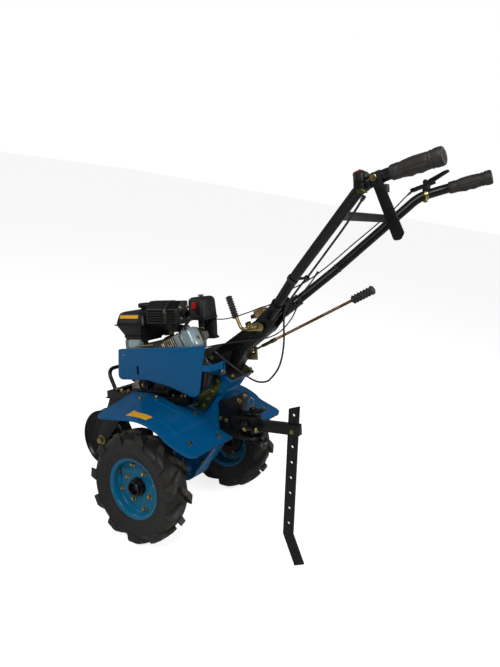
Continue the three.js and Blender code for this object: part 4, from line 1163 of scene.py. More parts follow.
# ---- engine: block, fins and covers ----
crankLow, crankHigh = levelBox("engine_pulley")
crankX, crankZ = (crankLow[0] + crankHigh[0]) / 2, (crankLow[2] + crankHigh[2]) / 2
cylinder = {"lean": 25, "start": 70, "end": 174, "pitch": 10.5, "fin": 3.2}
leanCos, leanSin = math.cos(math.radians(cylinder["lean"])), math.sin(math.radians(cylinder["lean"]))


def onCylinder(along, y, below):
    # a place by its distance along the leaning cylinder, across the engine, and below the bore's middle
    return (crankX - along * leanCos - below * leanSin, y, crankZ + along * leanSin - below * leanCos)


def cylinderStack(rows):
    # rounded rectangles along the cylinder, from (along, y range, below range, corner radius) rows
    loops = []
    for along, yRange, belowRange, radius in rows:
        loops.append([onCylinder(along, y, b) for y, b, _ in roundedLoop(yRange, belowRange, radius, 0)])
    return stacked(loops)


def addCylinder(setup):
    start, end, fin = setup["start"], setup["end"], setup["fin"]
    layers = [cylinderStack([(start, (-34, 40), (-36, 36), 12), (end, (-34, 40), (-36, 36), 12)])]
    along = start + 3
    while along < end - 16:
        shrink = 3 if along < start + 12 else 0
        rows = [(at, (-41 + shrink, 52 - shrink), (-47, 47), 10) for at in (along, along + fin)]
        layers.append(soften(cylinderStack(rows), 0.7, 1))
        along += setup["pitch"]
    layers.append(soften(cylinderStack([(at, (-39, 49), (-46, 46), 12) for at in (end - 14, end)]), 1.5))
    inward = Vector(onCylinder(0, 0, 0)) - Vector(onCylinder(100, 0, 0))
    bolts = [hexBolt(onCylinder(end - 13, y, b), inward, 10) for y in (-33, 43) for b in (-40, 40)]
    plugBody = swept([onCylinder(158, 20, -44), onCylinder(166, 24, -58), onCylinder(172, 26, -66)], 6, 16,
                     [7, 7, 4.5])
    layers = [(layers[0], darkSteel), (joined(*layers[1:]), finMetal), (joined(*bolts), zincGold),
              (plugBody, palePress)]
    cap = swept(smoothRoute([onCylinder(166, 24, -58), onCylinder(176, 27, -66), onCylinder(182, 16, -60),
                             onCylinder(180, -10, -50)], 10), 7, 16, [8, 8, 8.5, 8.5, 8, 7.5, 7, 6, 4, 3.6])
    lead = swept(smoothRoute([onCylinder(181, -4, -52), onCylinder(170, -30, -50), onCylinder(120, -56, -46),
                              onCylinder(70, -68, -44)], 18), 3.4, 12)
    layers.append((joined(cap, lead), gripRubber))
    addPiece("finned_cylinder", "root", layers, ["cylinder"])


# where it starts along the cylinder, how far its top edge is pushed up, and its sides
rocker = {"start": 174.3, "crown": 13, "across": (-34, 44), "below": (-42, 42)}


def addRockerCover(setup):
    (yLow, yHigh), (bLow, bHigh) = setup["across"], setup["below"]
    start, crown = setup["start"], setup["crown"]

    def row(along, inset, radius):
        lift = crown * min((along - start) / 10, 1)
        return (along, (yLow + inset, yHigh - inset), (bLow + inset - lift, bHigh - inset), radius)
    cover = cylinderStack([row(start, 0, 14), row(start + 3.4, 0, 14), row(start + 4.2, 3.5, 13),
                           row(start + 8, 4.5, 13), row(start + 28, 6, 16), row(start + 35, 9, 18),
                           row(start + 39.5, 15, 18), row(start + 41, 22, 14)])
    outward = Vector(onCylinder(100, 0, 0)) - Vector(onCylinder(0, 0, 0))
    bolt = hexBolt(onCylinder(start + 40.5, 5, 0), outward, 10)
    breather = swept([onCylinder(start + 22, 30, -30), onCylinder(start + 24, 30, -44)], 5, 16)
    hose = swept(smoothRoute([onCylinder(start + 24, 30, -40), onCylinder(start + 28, 28, -56),
                              onCylinder(start + 30, 0, -74), onCylinder(start + 34, -24, -80)], 14),
                 6.5, 14)
    shield = cylinderStack([(start - 26, (52.5, 55), (-40, 46), 1), (start - 4, (52.5, 55), (-40, 46), 1)])
    bracket = cylinderStack([(start + 4, (2, 30), (-62, -43), 4), (start + 30, (6, 28), (-58, -43), 4)])
    addPiece("rocker_cover_pressing", "root",
             [(cover, palePress), (soften(bracket, 2), brightSteel), (bolt, zincGold), (breather, castMetal),
              (hose, gripRubber), (soften(shield, 0.8), palePress)], ["rocker_cover"])


addCylinder(cylinder)
addRockerCover(rocker)

# the round side cover of the block: its outside face, its bolt circle and how many bolts stand on it
blockCover = {"face": 84, "boltCircle": 60, "bolts": 8, "firstBolt": 15}
caseFaceY = blockCover["face"]
coverX, coverZ = crankX + 8, crankZ - 6
coverBolts = []
for step in range(blockCover["bolts"]):
    turn = math.radians(blockCover["firstBolt"] + 360 * step / blockCover["bolts"])
    coverBolts.append(hexBolt((coverX + blockCover["boltCircle"] * math.cos(turn), caseFaceY + 3.6,
                               coverZ + blockCover["boltCircle"] * math.sin(turn)), (0, 1, 0), 10))
sideCover = turned([(0, caseFaceY - 2), (68, caseFaceY - 2), (69, caseFaceY - 1), (69, caseFaceY + 3),
                    (67, caseFaceY + 4), (52, caseFaceY + 5), (44, caseFaceY + 10), (26, caseFaceY + 12),
                    (0, caseFaceY + 12)],
                   (coverX, 0, coverZ), steps=64)
caseLow, caseHigh = levelBox("crankcase")
fillers = []
for x, y in ((caseHigh[0] - 6, 60), (caseLow[0] + 10, 66)):
    place = Vector((x, y, caseLow[2] + 34))
    fillers.append(turned([(0, 0), (11, 0), (11, 3), (15, 4), (16, 6), (16, 13), (14, 15), (0, 15)], place,
                          (0.9 if x > crankX else -0.9, 0.35, 0.3), steps=20))
idler = turned([(0, 0), (23, 0), (24, 1), (24, 3), (19, 6), (19, 10), (24, 13), (24, 16), (20, 17), (18, 14),
                (10, 14), (9, 17), (0, 17)], (crankX + 2, 96, crankZ - 80), steps=32)
idlerBolt = hexBolt((crankX + 2, 112.6, crankZ - 80), (0, 1, 0), 9)
idlerArm = soften(slab([(crankX - 92, crankZ - 104), (crankX + 14, crankZ - 104), (crankX + 8, crankZ - 56),
                        (crankX - 92, crankZ - 50)], 90, 95), 1.2)
corner = soften(block((crankX + 66, crankX + 128), (24, 66), (crankZ + 44, crankZ + 84)), 7, 3)
paleBox = soften(block((crankX + 36, crankX + 96), (50, 78), (crankZ + 56, crankZ + 87)), 4)
linkRod = swept([(crankX + 26, 92, crankZ + 66), (crankX - 50, 92, crankZ + 72)], 3, 12)
sump = [hexBolt((x, caseFaceY - 0.5, caseLow[2] + 16), (0, 1, 0), 10)
        for x in (caseLow[0] + 30, crankX, caseHigh[0] - 40)]
softCopy("crankcase", 2.2, [
    (sideCover, castMetal), (joined(*coverBolts, *sump, linkRod, idlerBolt), zincGold),
    (joined(*fillers), blackPlastic), (joined(idler, idlerArm), blackSteel), (corner, castMetal),
    (paleBox, palePress)])
for node in ("driven_pulley", "engine_pulley"):
    softCopy(node, 0.8)
softCopy("drive_belt", 1.0, material=beltRubber)


# ---- fuel tank ----
tank = {"flange": 1.5, "label": (128, 224), "yellow": (26, 38), "dark": (6, 23)}


def addTank(setup):
    (xLow, yLow, zLow), (xHigh, yHigh, zHigh) = levelBox("fuel_tank")
    seam = zLow + 73
    zFloor = seam - 60
    xs, ys = (xLow, xHigh), (yLow, yHigh)
    shell = roundedStack(xs, ys, [
        (44, 18, zFloor), (36, 20, zFloor + 1), (31, 20, zFloor + 5), (27, 20, zFloor + 14),
        (12, 18, seam - 12), (7, 18, seam - 2), (0, 20, seam - setup["flange"]),
        (0, 20, seam + setup["flange"]), (7, 18, seam + 2.4), (8.5, 18, seam + 12), (15, 20, seam + 36),
        (18, 21, seam + 43), (24, 22, seam + 48), (34, 20, seam + 50.6), (60, 16, zHigh - 0.2),
    ])
    sump = roundedStack((xLow + 26, xHigh - 26), (-56, yHigh - 22), [
        (15, 12, zLow + 5), (9, 15, zLow + 6), (7, 16, zLow + 10), (4, 17, zFloor + 5),
        (1, 18, zFloor + 14)])

    def onFace(z):
        return yHigh - 8.5 - (z - seam - 12) * 6.5 / 24 if z > seam + 12 else yHigh - 7.6
    layers = [(joined(shell, sump), blackPlastic)]
    for key, material in (("yellow", yellowLabel), ("dark", darkLabel)):
        low, high = (seam + z for z in setup[key])
        x0, x1 = setup["label"]
        loops = []
        for z in np.linspace(low, high, 5):
            y = onFace(z)
            loops.append([(x0, y - 0.2, z), (x1, y - 0.2, z), (x1, y + 0.5, z), (x0, y + 0.5, z)])
        layers.append((stacked(loops), material))
    straps = []
    for x in (xLow + 34, xHigh - 40):
        straps.append(soften(block((x - 11, x + 11), (yHigh - 44, yHigh - 40), (zLow - 14, zFloor + 12)), 1))
        straps.append(soften(block((x - 11, x + 11), (yHigh - 60, yHigh - 40), (zLow - 17, zLow - 14)), 1))
    tap = [turned([(0, 0), (8, 0), (8, 16), (5, 18), (5, 26), (0, 26)], (xLow + 20, yLow + 40, zFloor + 6),
                  (0, 0, -1), 16)]
    layers.append((joined(*straps), blackSteel))
    layers.append((joined(*tap), brassMetal))
    addPiece("fuel_tank_shell", "root", layers, ["fuel_tank"], sharp=50)


fuelCap = {"grooves": 12, "grooveDepth": 1.3}


def addFuelCap(setup):
    low, high = levelBox("fuel_cap")
    x, y = (low[0] + high[0]) / 2, (low[1] + high[1]) / 2
    radius = (high[0] - low[0]) / 2
    loops, sides = [], setup["grooves"] * 8
    for depth, size in ((0, 18), (7, 18), (7.4, radius - 1), (9, radius), (20, radius), (23, radius - 1.4),
                        (25.2, radius - 5), (25.9, 0.5)):
        loop = []
        for step in range(sides):
            turn = 2 * math.pi * step / sides
            grooved = size - (setup["grooveDepth"] if step % 8 in (0, 1) and 8 < depth < 23.5 else 0)
            loop.append((x + grooved * math.cos(turn), y + grooved * math.sin(turn), low[2] + depth))
        loops.append(loop)
    addPiece("fuel_cap_grooved", "root", [(stacked(loops), blackPlastic)], ["fuel_cap"])


addTank(tank)
addFuelCap(fuelCap)


# ---- silencer, air filter, carburettor ----
silencer = {"split": 62, "shoulder": 30, "louvres": 5, "louvrePitch": 9.4, "slotPitch": 9.5, "slotRows": 3}


def addSilencer(setup):
    low, high = levelBox("muffler")
    (xLow, yLow, zLow), (xHigh, yHigh, zHigh) = (low[0] + 22, low[1], high[2] - 88), high
    split, shoulder = xLow + setup["split"], setup["shoulder"]
    section = [(yHigh, zLow + 4), (yHigh, zHigh - shoulder), (yHigh - 26, zHigh), (yLow, zHigh),
               (yLow, zLow + 4), (yLow + 8, zLow), (yHigh - 8, zLow)]
    shells = []
    for x0, x1, inset in ((split + 3, xHigh, 0), (xLow, split - 3, 2)):
        outline = insetLoop(roundedOutline(section, 7, 4), inset)
        shells.append(soften(slab(outline, x0, x1, "yz"), 2.4, 2, 50))
    rib = soften(slab(roundedOutline([(yHigh + 2, zLow + 2), (yHigh + 2, zHigh - shoulder + 1),
                                      (yHigh - 25, zHigh), (yLow + 3, zHigh), (yLow + 3, zLow + 2)], 5),
                      split - 7, split + 5, "yz"), 1)
    # dark gathers near-black slabs and plugs: painted shade for the louvre openings and the perforations
    dark, plates, bolts = [], [], []
    for x0, x1 in ((split + 12, xHigh - 8), (xLow + 22, split - 12)):
        for row in range(setup["louvres"]):
            z = zLow + 12 + row * setup["louvrePitch"]
            mark = roundedOutline([(x0, z), (x1, z), (x1, z + 3.4), (x0, z + 3.4)], 1.5, 2)
            # painted shade: a near-black strip below each hood stands for the louvre's opening
            dark.append(slab(mark, yHigh - 3, yHigh + 0.3))
            hood = slab([(x0 - 1, z + 3.6), (x1 + 1, z + 3.6), (x1 + 1, z + 5.4), (x0 - 1, z + 5.4)],
                        yHigh - 1, yHigh + 1.6)
            plates.append(hood)
    slope = Vector((0, 26, -shoulder)).normalized()
    outward = Vector((0, shoulder, 26)).normalized()
    for x0, x1 in ((split + 9, xHigh - 5), (xLow + 6, split - 11)):
        count = int((x1 - x0) / setup["slotPitch"])
        for row in range(setup["slotRows"]):
            for step in range(count):
                x = x0 + (step + 0.5) * (x1 - x0) / count
                middle = Vector((x, yHigh - 26, zHigh)) + slope * (7.5 + row * 11.5)
                loop = []
                for turn in np.linspace(0, 2 * math.pi, 8, endpoint=False):
                    across = 2.6 * math.cos(turn) + 2.2 * math.sin(turn)
                    loop.append(middle + Vector((across, 0, 0)) + slope * 4.9 * math.sin(turn))
                # painted shade: a near-black plug in each perforation stands for the hole
                dark.append(stacked([[p - outward * 2 for p in loop], [p + outward * 0.5 for p in loop]]))
    bolts.append(hexBolt((split - 1, yHigh + 2, zHigh - shoulder - 8), (0, 1, 0), 9))
    # the outlet flange on the rear end, its four bolts round the tail pipe
    middle = (yLow + yHigh) / 2
    flange = slab(roundedOutline([(middle - 25, zLow + 18), (middle + 25, zLow + 18),
                                  (middle + 25, zLow + 68), (middle - 25, zLow + 68)], 9), xLow - 2.2,
                  xLow + 2, "yz")
    plates.append(soften(flange, 0.8))
    for y in (middle - 19, middle + 19):
        for z in (zLow + 24, zLow + 62):
            bolts.append(hexBolt((xLow - 2.2, y, z), (-1, 0, 0), 9))
    tail = swept([(xLow, middle, zLow + 43), (xLow - 12, middle + 2, zLow + 41),
                  (xLow - 20, middle + 4, zLow + 39)],
                 14.6, 24)
    # painted shade: a near-black plug inside the tail pipe stands for its bore
    tailBoreShade = swept([(xLow - 19, middle + 3.6, zLow + 39.2), (xLow - 21, middle + 4.2, zLow + 38.8)],
                     12, 24)
    port = soften(block((low[0] + 66, low[0] + 98), (26, 50), (low[2], zLow + 4)), 3)
    addPiece("silencer_shields", "root", [
        (joined(*shells, rib, *plates, tail, port), silencerSteel),
        (joined(*dark, tailBoreShade), paintedOpeningShade), (joined(*bolts), brightSteel)], ["muffler"], sharp=34)


airFilter = {"coverFrom": 80, "nut": 10, "wingThickness": 3.2}


def addAirFilter(setup):
    (xLow, yLow, zLow), (xHigh, yHigh, zHigh) = levelBox("air_filter")
    coverLow, coverHigh = zLow + setup["coverFrom"], zHigh - setup["nut"]
    cover = roundedStack((xLow, xHigh), (yLow, yHigh), [
        (2, 14, coverLow), (0, 15, coverLow + 3), (0, 15, coverLow + 8), (1.6, 15, coverLow + 9.5),
        (4, 16, coverHigh - 14), (7, 17, coverHigh - 5), (13, 17, coverHigh)])
    panel = roundedStack((xLow + 4, xLow + 44), (yLow + 6, yHigh - 1.0), [
        (1, 10, coverLow + 12), (1.4, 10, coverHigh - 15), (6, 11, coverHigh - 2), (12, 8, coverHigh + 1.4)])
    box = roundedStack((xLow + 4, xHigh - 6), (yLow + 2, yLow + 34), [
        (6, 8, zLow + 0.5), (1, 10, zLow + 4), (0, 10, zLow + 9), (2, 10, zLow + 11), (0, 11, coverLow + 3)])
    foot = roundedStack((xLow, xHigh - 40), (yLow + 2, yLow + 40),
                        [(1, 8, zLow), (0, 8, zLow + 2), (0, 8, zLow + 6), (2, 8, zLow + 8)])
    nutAt = Vector((xLow + 42, yLow + 52, coverHigh))
    stud = turned([(0, -3), (3, -3), (3, 10), (0, 10)], nutAt, (0, 0, 1), 12)
    hub = turned([(0, 0), (6, 0), (6, 3), (5, 6), (0, 6)], nutAt, (0, 0, 1), 16)
    wings, half = [], setup["wingThickness"] / 2
    wing = [(4, 1), (12, 4), (14, 9.6), (9, 9.6), (4, 5)]
    for way in (1, -1):
        outline = [(nutAt.x + way * out, nutAt.z + up) for out, up in wing]
        wings.append(soften(slab(outline, nutAt.y - half, nutAt.y + half), 0.8))
    tag = soften(block((xLow + 30, xLow + 47), (yHigh - 6, yHigh + 3), (coverHigh - 42, coverHigh - 17)),
                 1.5)
    addPiece("air_filter_housing", "root", [
        (joined(cover, panel, box, foot), blackPlastic), (joined(stud, hub, *wings), darkSteel),
        (tag, redPlastic)],
        ["air_filter"], sharp=46)


carburettor = {"throat": 15, "springCoils": 7, "springRadius": 2.6, "wire": 0.8}


def addCarburettor(setup):
    (xLow, yLow, zLow), (xHigh, yHigh, _) = levelBox("carburettor")
    x, y = (xLow + xHigh) / 2, (yLow + yHigh) / 2
    bowl = turned([(0, -2), (13, 0), (15, 3), (15, 24), (17, 25), (17, 29), (0, 29)], (x, y, zLow),
                  (0, 0, 1), 28)
    drain = hexBolt((x, y, zLow + 1), (0, 0, -1), 9)
    barrel = swept([(xHigh, y, zLow + 46), (xLow, y, zLow + 46)], setup["throat"], 24)
    body = soften(block((x - 17, x + 17), (y - 15, y + 15), (zLow + 28, zLow + 62)), 3.5, 2)
    neck = turned([(0, 0), (12, 0), (12, 46), (0, 46)], (x, y, zLow + 60), (0, 0, 1), 20)
    flange = soften(block((xHigh - 4, xHigh), (y - 22, y + 22), (zLow + 28, zLow + 64)), 1.5)
    lever = soften(slab([(x - 16, zLow + 60), (x - 2, zLow + 64), (x + 14, zLow + 78), (x + 10, zLow + 82),
                         (x - 6, zLow + 72), (x - 18, zLow + 66)], yHigh + 1, yHigh + 3), 0.6)
    spring, coil = [], setup["springRadius"]
    for turn in np.linspace(0, 2 * setup["springCoils"] * math.pi, 16 * setup["springCoils"] + 1):
        spring.append((x + 10 - turn * 0.9, yHigh + 5 + coil * math.cos(turn),
                       zLow + 76 + coil * math.sin(turn)))
    screws = [turned([(0, 0), (3.4, 0), (3.4, 7), (0, 7)], (x + dx, yHigh, zLow + dz), steps=12)
              for dx, dz in ((-10, 40), (8, 36), (11, 52))]
    fuelHose = swept(smoothRoute([(x - 4, y - 14, zLow + 26), (x + 20, y - 34, zLow + 22),
                                  (x + 70, y - 44, zLow + 36), (x + 150, y - 38, zLow + 50)], 20), 4, 12)
    addPiece("carburettor_body", "root", [
        (joined(bowl, barrel, body, flange), castMetal), (neck, blackPlastic),
        (joined(drain, *screws), brassMetal), (joined(lever, swept(spring, setup["wire"], 6)), zincGold),
        (fuelHose, gripRubber)], ["carburettor"])


recoil = {"spokes": 16, "boltEvery": 4, "sideSlots": 20}


def addRecoil(setup):
    (xLow, _, zLow), (xHigh, yHigh, zHigh) = levelBox("recoil_starter")
    middle, radius = ((xLow + xHigh) / 2, yHigh, (zLow + zHigh) / 2), (zHigh - zLow) / 2
    shell = turned([(0, 0), (radius - 1, 0), (radius, 2), (radius, 5), (radius - 2, 7), (radius - 3, 36),
                    (radius - 5, 44), (radius - 10, 50), (radius - 15, 54), (radius - 17, 66),
                    (radius - 20, 74), (36, 79), (32, 77.5), (24, 77.5), (22, 81.5), (0, 82)], middle,
                   (0, -1, 0), 72)
    # dark gathers near-black plugs: painted shade for the spoke windows and the side slots
    dark, bolts = [], []
    for step in range(setup["spokes"]):
        turn = 2 * math.pi * step / setup["spokes"]
        if step % setup["boltEvery"] == 0:
            place = (middle[0] + (radius - 7) * math.cos(turn), yHigh - 46,
                     middle[2] + (radius - 7) * math.sin(turn))
            bolts.append(hexBolt(place, (0, -1, 0), 10))
            continue
        loop = []
        for r, side in ((38, -1), (60, -1), (60, 1), (38, 1)):
            a = turn + side * 0.1
            depth = 77.5 - (r - 36) * 0.21
            loop.append((middle[0] + r * math.cos(a), yHigh - depth + 1.4, middle[2] + r * math.sin(a)))
        dark.append(stacked([loop, [(px, py - 2.2, pz) for px, py, pz in loop]]))
    inside, grown = radius - 3.6, 1.018
    for step in range(setup["sideSlots"]):
        turn = 2 * math.pi * (step + 0.5) / setup["sideSlots"]
        loop = [(middle[0] + inside * math.cos(turn + d), yHigh - y, middle[2] + inside * math.sin(turn + d))
                for y, d in ((14, -0.05), (32, -0.05), (32, 0.05), (14, 0.05))]
        outer = [(middle[0] + (px - middle[0]) * grown, py, middle[2] + (pz - middle[2]) * grown)
                 for px, py, pz in loop]
        dark.append(stacked([loop, outer]))
    outlet = turned([(0, 0), (9, 0), (9, 10), (6, 12), (0, 12)],
                    (middle[0] + 40, yHigh - 42, middle[2] + 66), (0.5, 0, 1), 20)
    handleAt = Vector((middle[0] + 49, yHigh - 42, middle[2] + 86))
    handle = swept([handleAt + Vector((0, k, 0.3 * abs(k) / 8)) for k in (-28, -24, -10, 0, 10, 24, 28)], 8,
                   16, [5, 8, 8, 9, 8, 8, 5])
    cord = swept([(middle[0] + 44, yHigh - 42, middle[2] + 76), handleAt], 2, 10)
    addPiece("recoil_starter_cowl", "root", [
        (joined(shell, outlet), blackSteel), (joined(*dark), paintedOpeningShade), (joined(*bolts), zincGold),
        (joined(handle, cord), gripRubber)], ["recoil_starter"], sharp=34)


addSilencer(silencer)
addAirFilter(airFilter)
addCarburettor(carburettor)
addRecoil(recoil)
print("engine made")


# ---- handlebars ----
pivotAt = toLevel([joints["handlebar_tilt"]["pos_m"]])[0]
handleBody = frame["nodes"]["handlebar_head"]["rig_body"]
bars = {"route": [(-55, 50, 47), (-207, 145, 175), (-469, 252, 397), (-541, 278, 414), (-686, 293, 437)],
        "radius": 15.5, "bend": 130, "grip": 137, "gripFit": 0.93, "flutes": 12, "socket": 62}


def barPoints(setup, sign):
    # the corners of one handlebar in the level frame, socket end first
    return [Vector((pivotAt[0] + x, sign * y, pivotAt[2] + z)) for x, y, z in setup["route"]]


def alongBar(setup, sign, share):
    # a place on the straight run between the socket and the upper bend, and the bar's direction there
    start, end = barPoints(setup, sign)[1:3]
    return start.lerp(end, share), (end - start).normalized()


def band(place, direction, radius, width, thickness=1.6):
    # a strap closed round a bar
    return turned([(radius - 0.4, -width / 2), (radius + thickness - 0.5, -width / 2),
                   (radius + thickness, 0.6 - width / 2), (radius + thickness, width / 2 - 0.6),
                   (radius + thickness - 0.5, width / 2), (radius - 0.4, width / 2)],
                  place, direction, 32, closed=True)


def addBar(setup, side, sign):
    route = bentRoute(barPoints(setup, sign), setup["bend"], 12)
    layers = [(swept(route, setup["radius"], 28), blackSteel)]
    if side == "right":
        place, direction = alongBar(setup, sign, 0.02)
        layers.append((band(place, direction, setup["radius"], 5), gripRubber))
    addPiece(f"{side}_handlebar_tube", handleBody, layers, [f"{side}_handlebar"])


def addGrip(setup, side, sign):
    start, end = barPoints(setup, sign)[-2:]
    along, across, other = axesFor(end - start)
    if other.z < 0:
        across, other = -across, -other
    stretch, flutes, sides = setup["gripFit"], setup["flutes"], 120
    base = end - along * (setup["grip"] * stretch + 2)
    loops = []
    # distance along the grip, radius, and how deep its flutes are there
    rows = [(-0.5, 17.0, 0), (0.2, 18.2, 0), (2, 19.4, 0), (14, 19.8, 0), (22, 20.0, 0), (24, 18.8, 0),
            (27, 19.2, 0.2), (38, 21.2, 1), (52, 22.4, 1), (66, 22.8, 1), (80, 22.4, 1), (94, 21.8, 1),
            (102, 21.4, 0.7), (104, 20.0, 0), (106.5, 20.0, 0), (108, 22.0, 0), (110, 22.4, 0),
            (112, 21.8, 0), (113.5, 20.4, 0), (115.5, 20.4, 0), (117.5, 22.4, 0), (121, 23.0, 0),
            (132, 23.2, 0), (137, 22.6, 0), (140, 20.8, 0), (141.3, 18.0, 0),
            (141.4, 14.0, 0), (140.2, 12.8, 0), (140.2, 0.1, 0)]
    for height, radius, flute in rows:
        loop = []
        for step in range(sides):
            turn = 2 * math.pi * step / sides
            groove = flute * 1.5 * (0.5 - 0.5 * math.cos(flutes * turn)) ** 2
            under = max(0.0, -math.sin(turn)) ** 2
            knuckle = under * 1.6 * math.sin(2 * math.pi * (height - 26) / 23) if 26 < height < 102 else 0
            size = radius - groove + knuckle
            loop.append(base + along * height * stretch + size * around(turn, across, other))
        loops.append(loop)
    # raised vanes on the grip's end, from near its middle out to its edge
    vanes, count = [], 8
    corners = [(3, -0.9), (3, 0.9), (13, 1.3), (13, -1.3)]
    for step in range(count):
        turn = 2 * math.pi * step / count
        outward, beside = around(turn, across, other), around(turn, other, -across)
        tip = base + along * rows[-1][0] * stretch
        vanes.append(stacked([[tip + along * lift + outward * reach + beside * width
                               for reach, width in corners]
                              for lift in (0, 1.1)]))
    addPiece(f"{side}_fluted_grip", handleBody,
             [(joined(stacked(loops), *vanes), gripRubber)], [f"{side}_grip"], sharp=50)


for side, sign in (("left", 1), ("right", -1)):
    addBar(bars, side, sign)
    addGrip(bars, side, sign)

collars = []
for sign in (1, -1):
    start, ahead = barPoints(bars, sign)[:2]
    direction = (ahead - start).normalized()
    collars.append(band(start + direction * (bars["socket"] - 4), direction, bars["radius"] + 3.8, 7, 1.3))
    collars.append(band(start + direction * (bars["socket"] - 24), direction, bars["radius"] + 3.8, 3, 0.8))
pinch = [hexBolt((pivotAt[0] - 84, sign * 40, pivotAt[2] + 62), (0, sign, 0), 11) for sign in (1, -1)]
softCopy("handlebar_head", 1.4, [(joined(*collars), blackSteel), (joined(*pinch), blackSteel)])

ringPlace, ringAlong = alongBar(bars, 1, -0.06)
ringMiddle = Vector((-628, 122, 706))
clipRing = turned([(6.5, -4), (8.5, -4), (8.5, 4), (6.5, 4)], ringMiddle, ringAlong, 20, closed=True)
clipArm = swept([ringPlace.lerp(ringMiddle, 0.4), ringPlace.lerp(ringMiddle, 0.8)], 4.5, 12)
addPiece("cable_guide_clip", handleBody,
         [(joined(band(ringPlace, ringAlong, bars["radius"], 12, 2.4), clipRing, clipArm), gripRubber)])

braceBolts = [hexBolt((levelBox("cross_brace")[1][0], sign * 176, pivotAt[2] + 331), (1, 0, 0), 11)
              for sign in (1, -1)]
softCopy("cross_brace", 0.9, [(joined(*braceBolts), blackSteel)])


# ---- controls on the handlebars ----
clutchLever = {"face": 293, "sheet": 5, "bead": 3.2, "clampRadius": 15.6, "clampWidth": 22}


def addClutchLever(setup):
    x, z = pivotAt[0], pivotAt[2]
    blade = roundedOutline([(x - 503, z + 422), (x - 529, z + 424), (x - 589, z + 270), (x - 580, z + 254),
                            (x - 562, z + 252)], [9, 9, 9, 9, 9], 5)
    outer = setup["face"]
    spine = insetLoop(blade, setup["bead"])
    face = joined(soften(slab(blade, outer - 1 - setup["sheet"], outer - 1), 1.2, 2),
                  soften(slab(spine, outer - 1.4, outer), 0.6))
    perch = soften(block((x - 530, x - 504), (262, 288), (z + 388, z + 418)), 2.5, 2)
    spring = soften(block((x - 548, x - 530), (266, 286), (z + 372, z + 392)), 2)
    clamp = band(Vector((x - 520, 270.5, z + 409.5)), Vector((-72, 26, 17)), setup["clampRadius"],
                 setup["clampWidth"], 2.6)
    pin = hexBolt((x - 516, outer - 0.4, z + 410), (0, 1, 0), 11)
    addPiece("clutch_lever_pressing", handleBody, [
        (joined(face, perch, clamp, spring), blackSteel), (pin, zincGold)], ["clutch_lever"])


stopSwitch = {"across": (236, 280), "rockerLean": 18}


def addSwitch(setup):
    x, z = pivotAt[0], pivotAt[2]
    body = roundedStack((x - 489, x - 455), setup["across"], [
        (4, 8, z + 384), (0, 10, z + 388), (0, 10, z + 404), (1, 10, z + 405), (0, 10, z + 406),
        (0, 10, z + 426), (3, 10, z + 431), (7, 8, z + 433)])
    turn = Matrix.Rotation(math.radians(setup["rockerLean"]), 4, "Y")
    lean = Matrix.Translation((x - 468, 258, z + 431)) @ turn
    rocker = moved(soften(block((-8, 12), (-13, 15), (-2, 5)), 2), lean)
    dimple = moved(turned([(0, 0), (5, 0), (5, 0.7), (0, 0.7)], (3, 1, 4.8), (0, 0, 1), 16), lean)
    frameEdge = moved(soften(block((-11, 14), (-16, 18), (-6, 1.6)), 2), lean)
    clip = soften(block((x - 487, x - 468), (258, 283), (z + 378, z + 387)), 2)
    screw = hexBolt((x - 478, 283, z + 382), (0, 1, 0), 7)
    addPiece("stop_switch_body", handleBody, [
        (joined(body, frameEdge), blackPlastic), (joined(rocker, dimple), redPlastic),
        (joined(clip, screw), zincOlive)],
        ["stop_switch"])


throttle = {"plate": (-277, -251), "thumb": (-271, -257), "ribs": 5, "ribPitch": 13, "ribRise": 3.2,
            "clampRadius": 15.6}


def addThrottle(setup):
    x, z = pivotAt[0], pivotAt[2]
    plate = roundedOutline([(x - 438, z + 426), (x - 516, z + 445), (x - 519, z + 436), (x - 442, z + 415)],
                           3, 3)
    lever = roundedOutline([(x - 480, z + 436), (x - 502, z + 452), (x - 548, z + 471), (x - 562, z + 474),
                            (x - 564, z + 467), (x - 504, z + 436)], 3, 3)
    ribs = []
    for step in range(setup["ribs"]):
        back, up = step * setup["ribPitch"], step * setup["ribRise"]
        ribs.append(slab([(x - 446 - back, z + 426 + up), (x - 449 - back, z + 427 + up),
                          (x - 449 - back, z + 429.5 + up), (x - 446 - back, z + 428.5 + up)],
                         *setup["plate"]))
    clampAt = Vector((x - 490, -259.8, z + 401.8))
    direction = Vector((-72, -26, 17))
    gold = [band(clampAt, direction, setup["clampRadius"], 11, 1.4),
            hexBolt(clampAt + Vector((4, 4, -20)), (0, 1, -0.2), 9, False, 5),
            soften(block((clampAt.x - 4, clampAt.x + 8), (clampAt.y - 2, clampAt.y + 9),
                         (clampAt.z - 24, clampAt.z - 14)), 1.5)]
    saddle = soften(block((x - 500, x - 480), (-279, -249), (z + 412, z + 437)), 2.5)
    pivot = turned([(0, 0), (9, 0), (9, 5), (5, 6), (0, 6)], (x - 492, -251, z + 442), (0, 1, 0), 20)
    body = [soften(slab(plate, *setup["plate"]), 1), soften(slab(lever, *setup["thumb"]), 1.4),
            saddle, pivot]
    addPiece("throttle_lever_set", handleBody,
             [(joined(*body, *ribs), blackSteel), (joined(*gold), zincGold)], ["throttle_lever"])


addClutchLever(clutchLever)
addSwitch(stopSwitch)
addThrottle(throttle)


# ---- lock lever, toothed sector, post ----
lockLever = {"rod": 6.0, "grip": 12.5, "knurls": 8, "rings": 9}


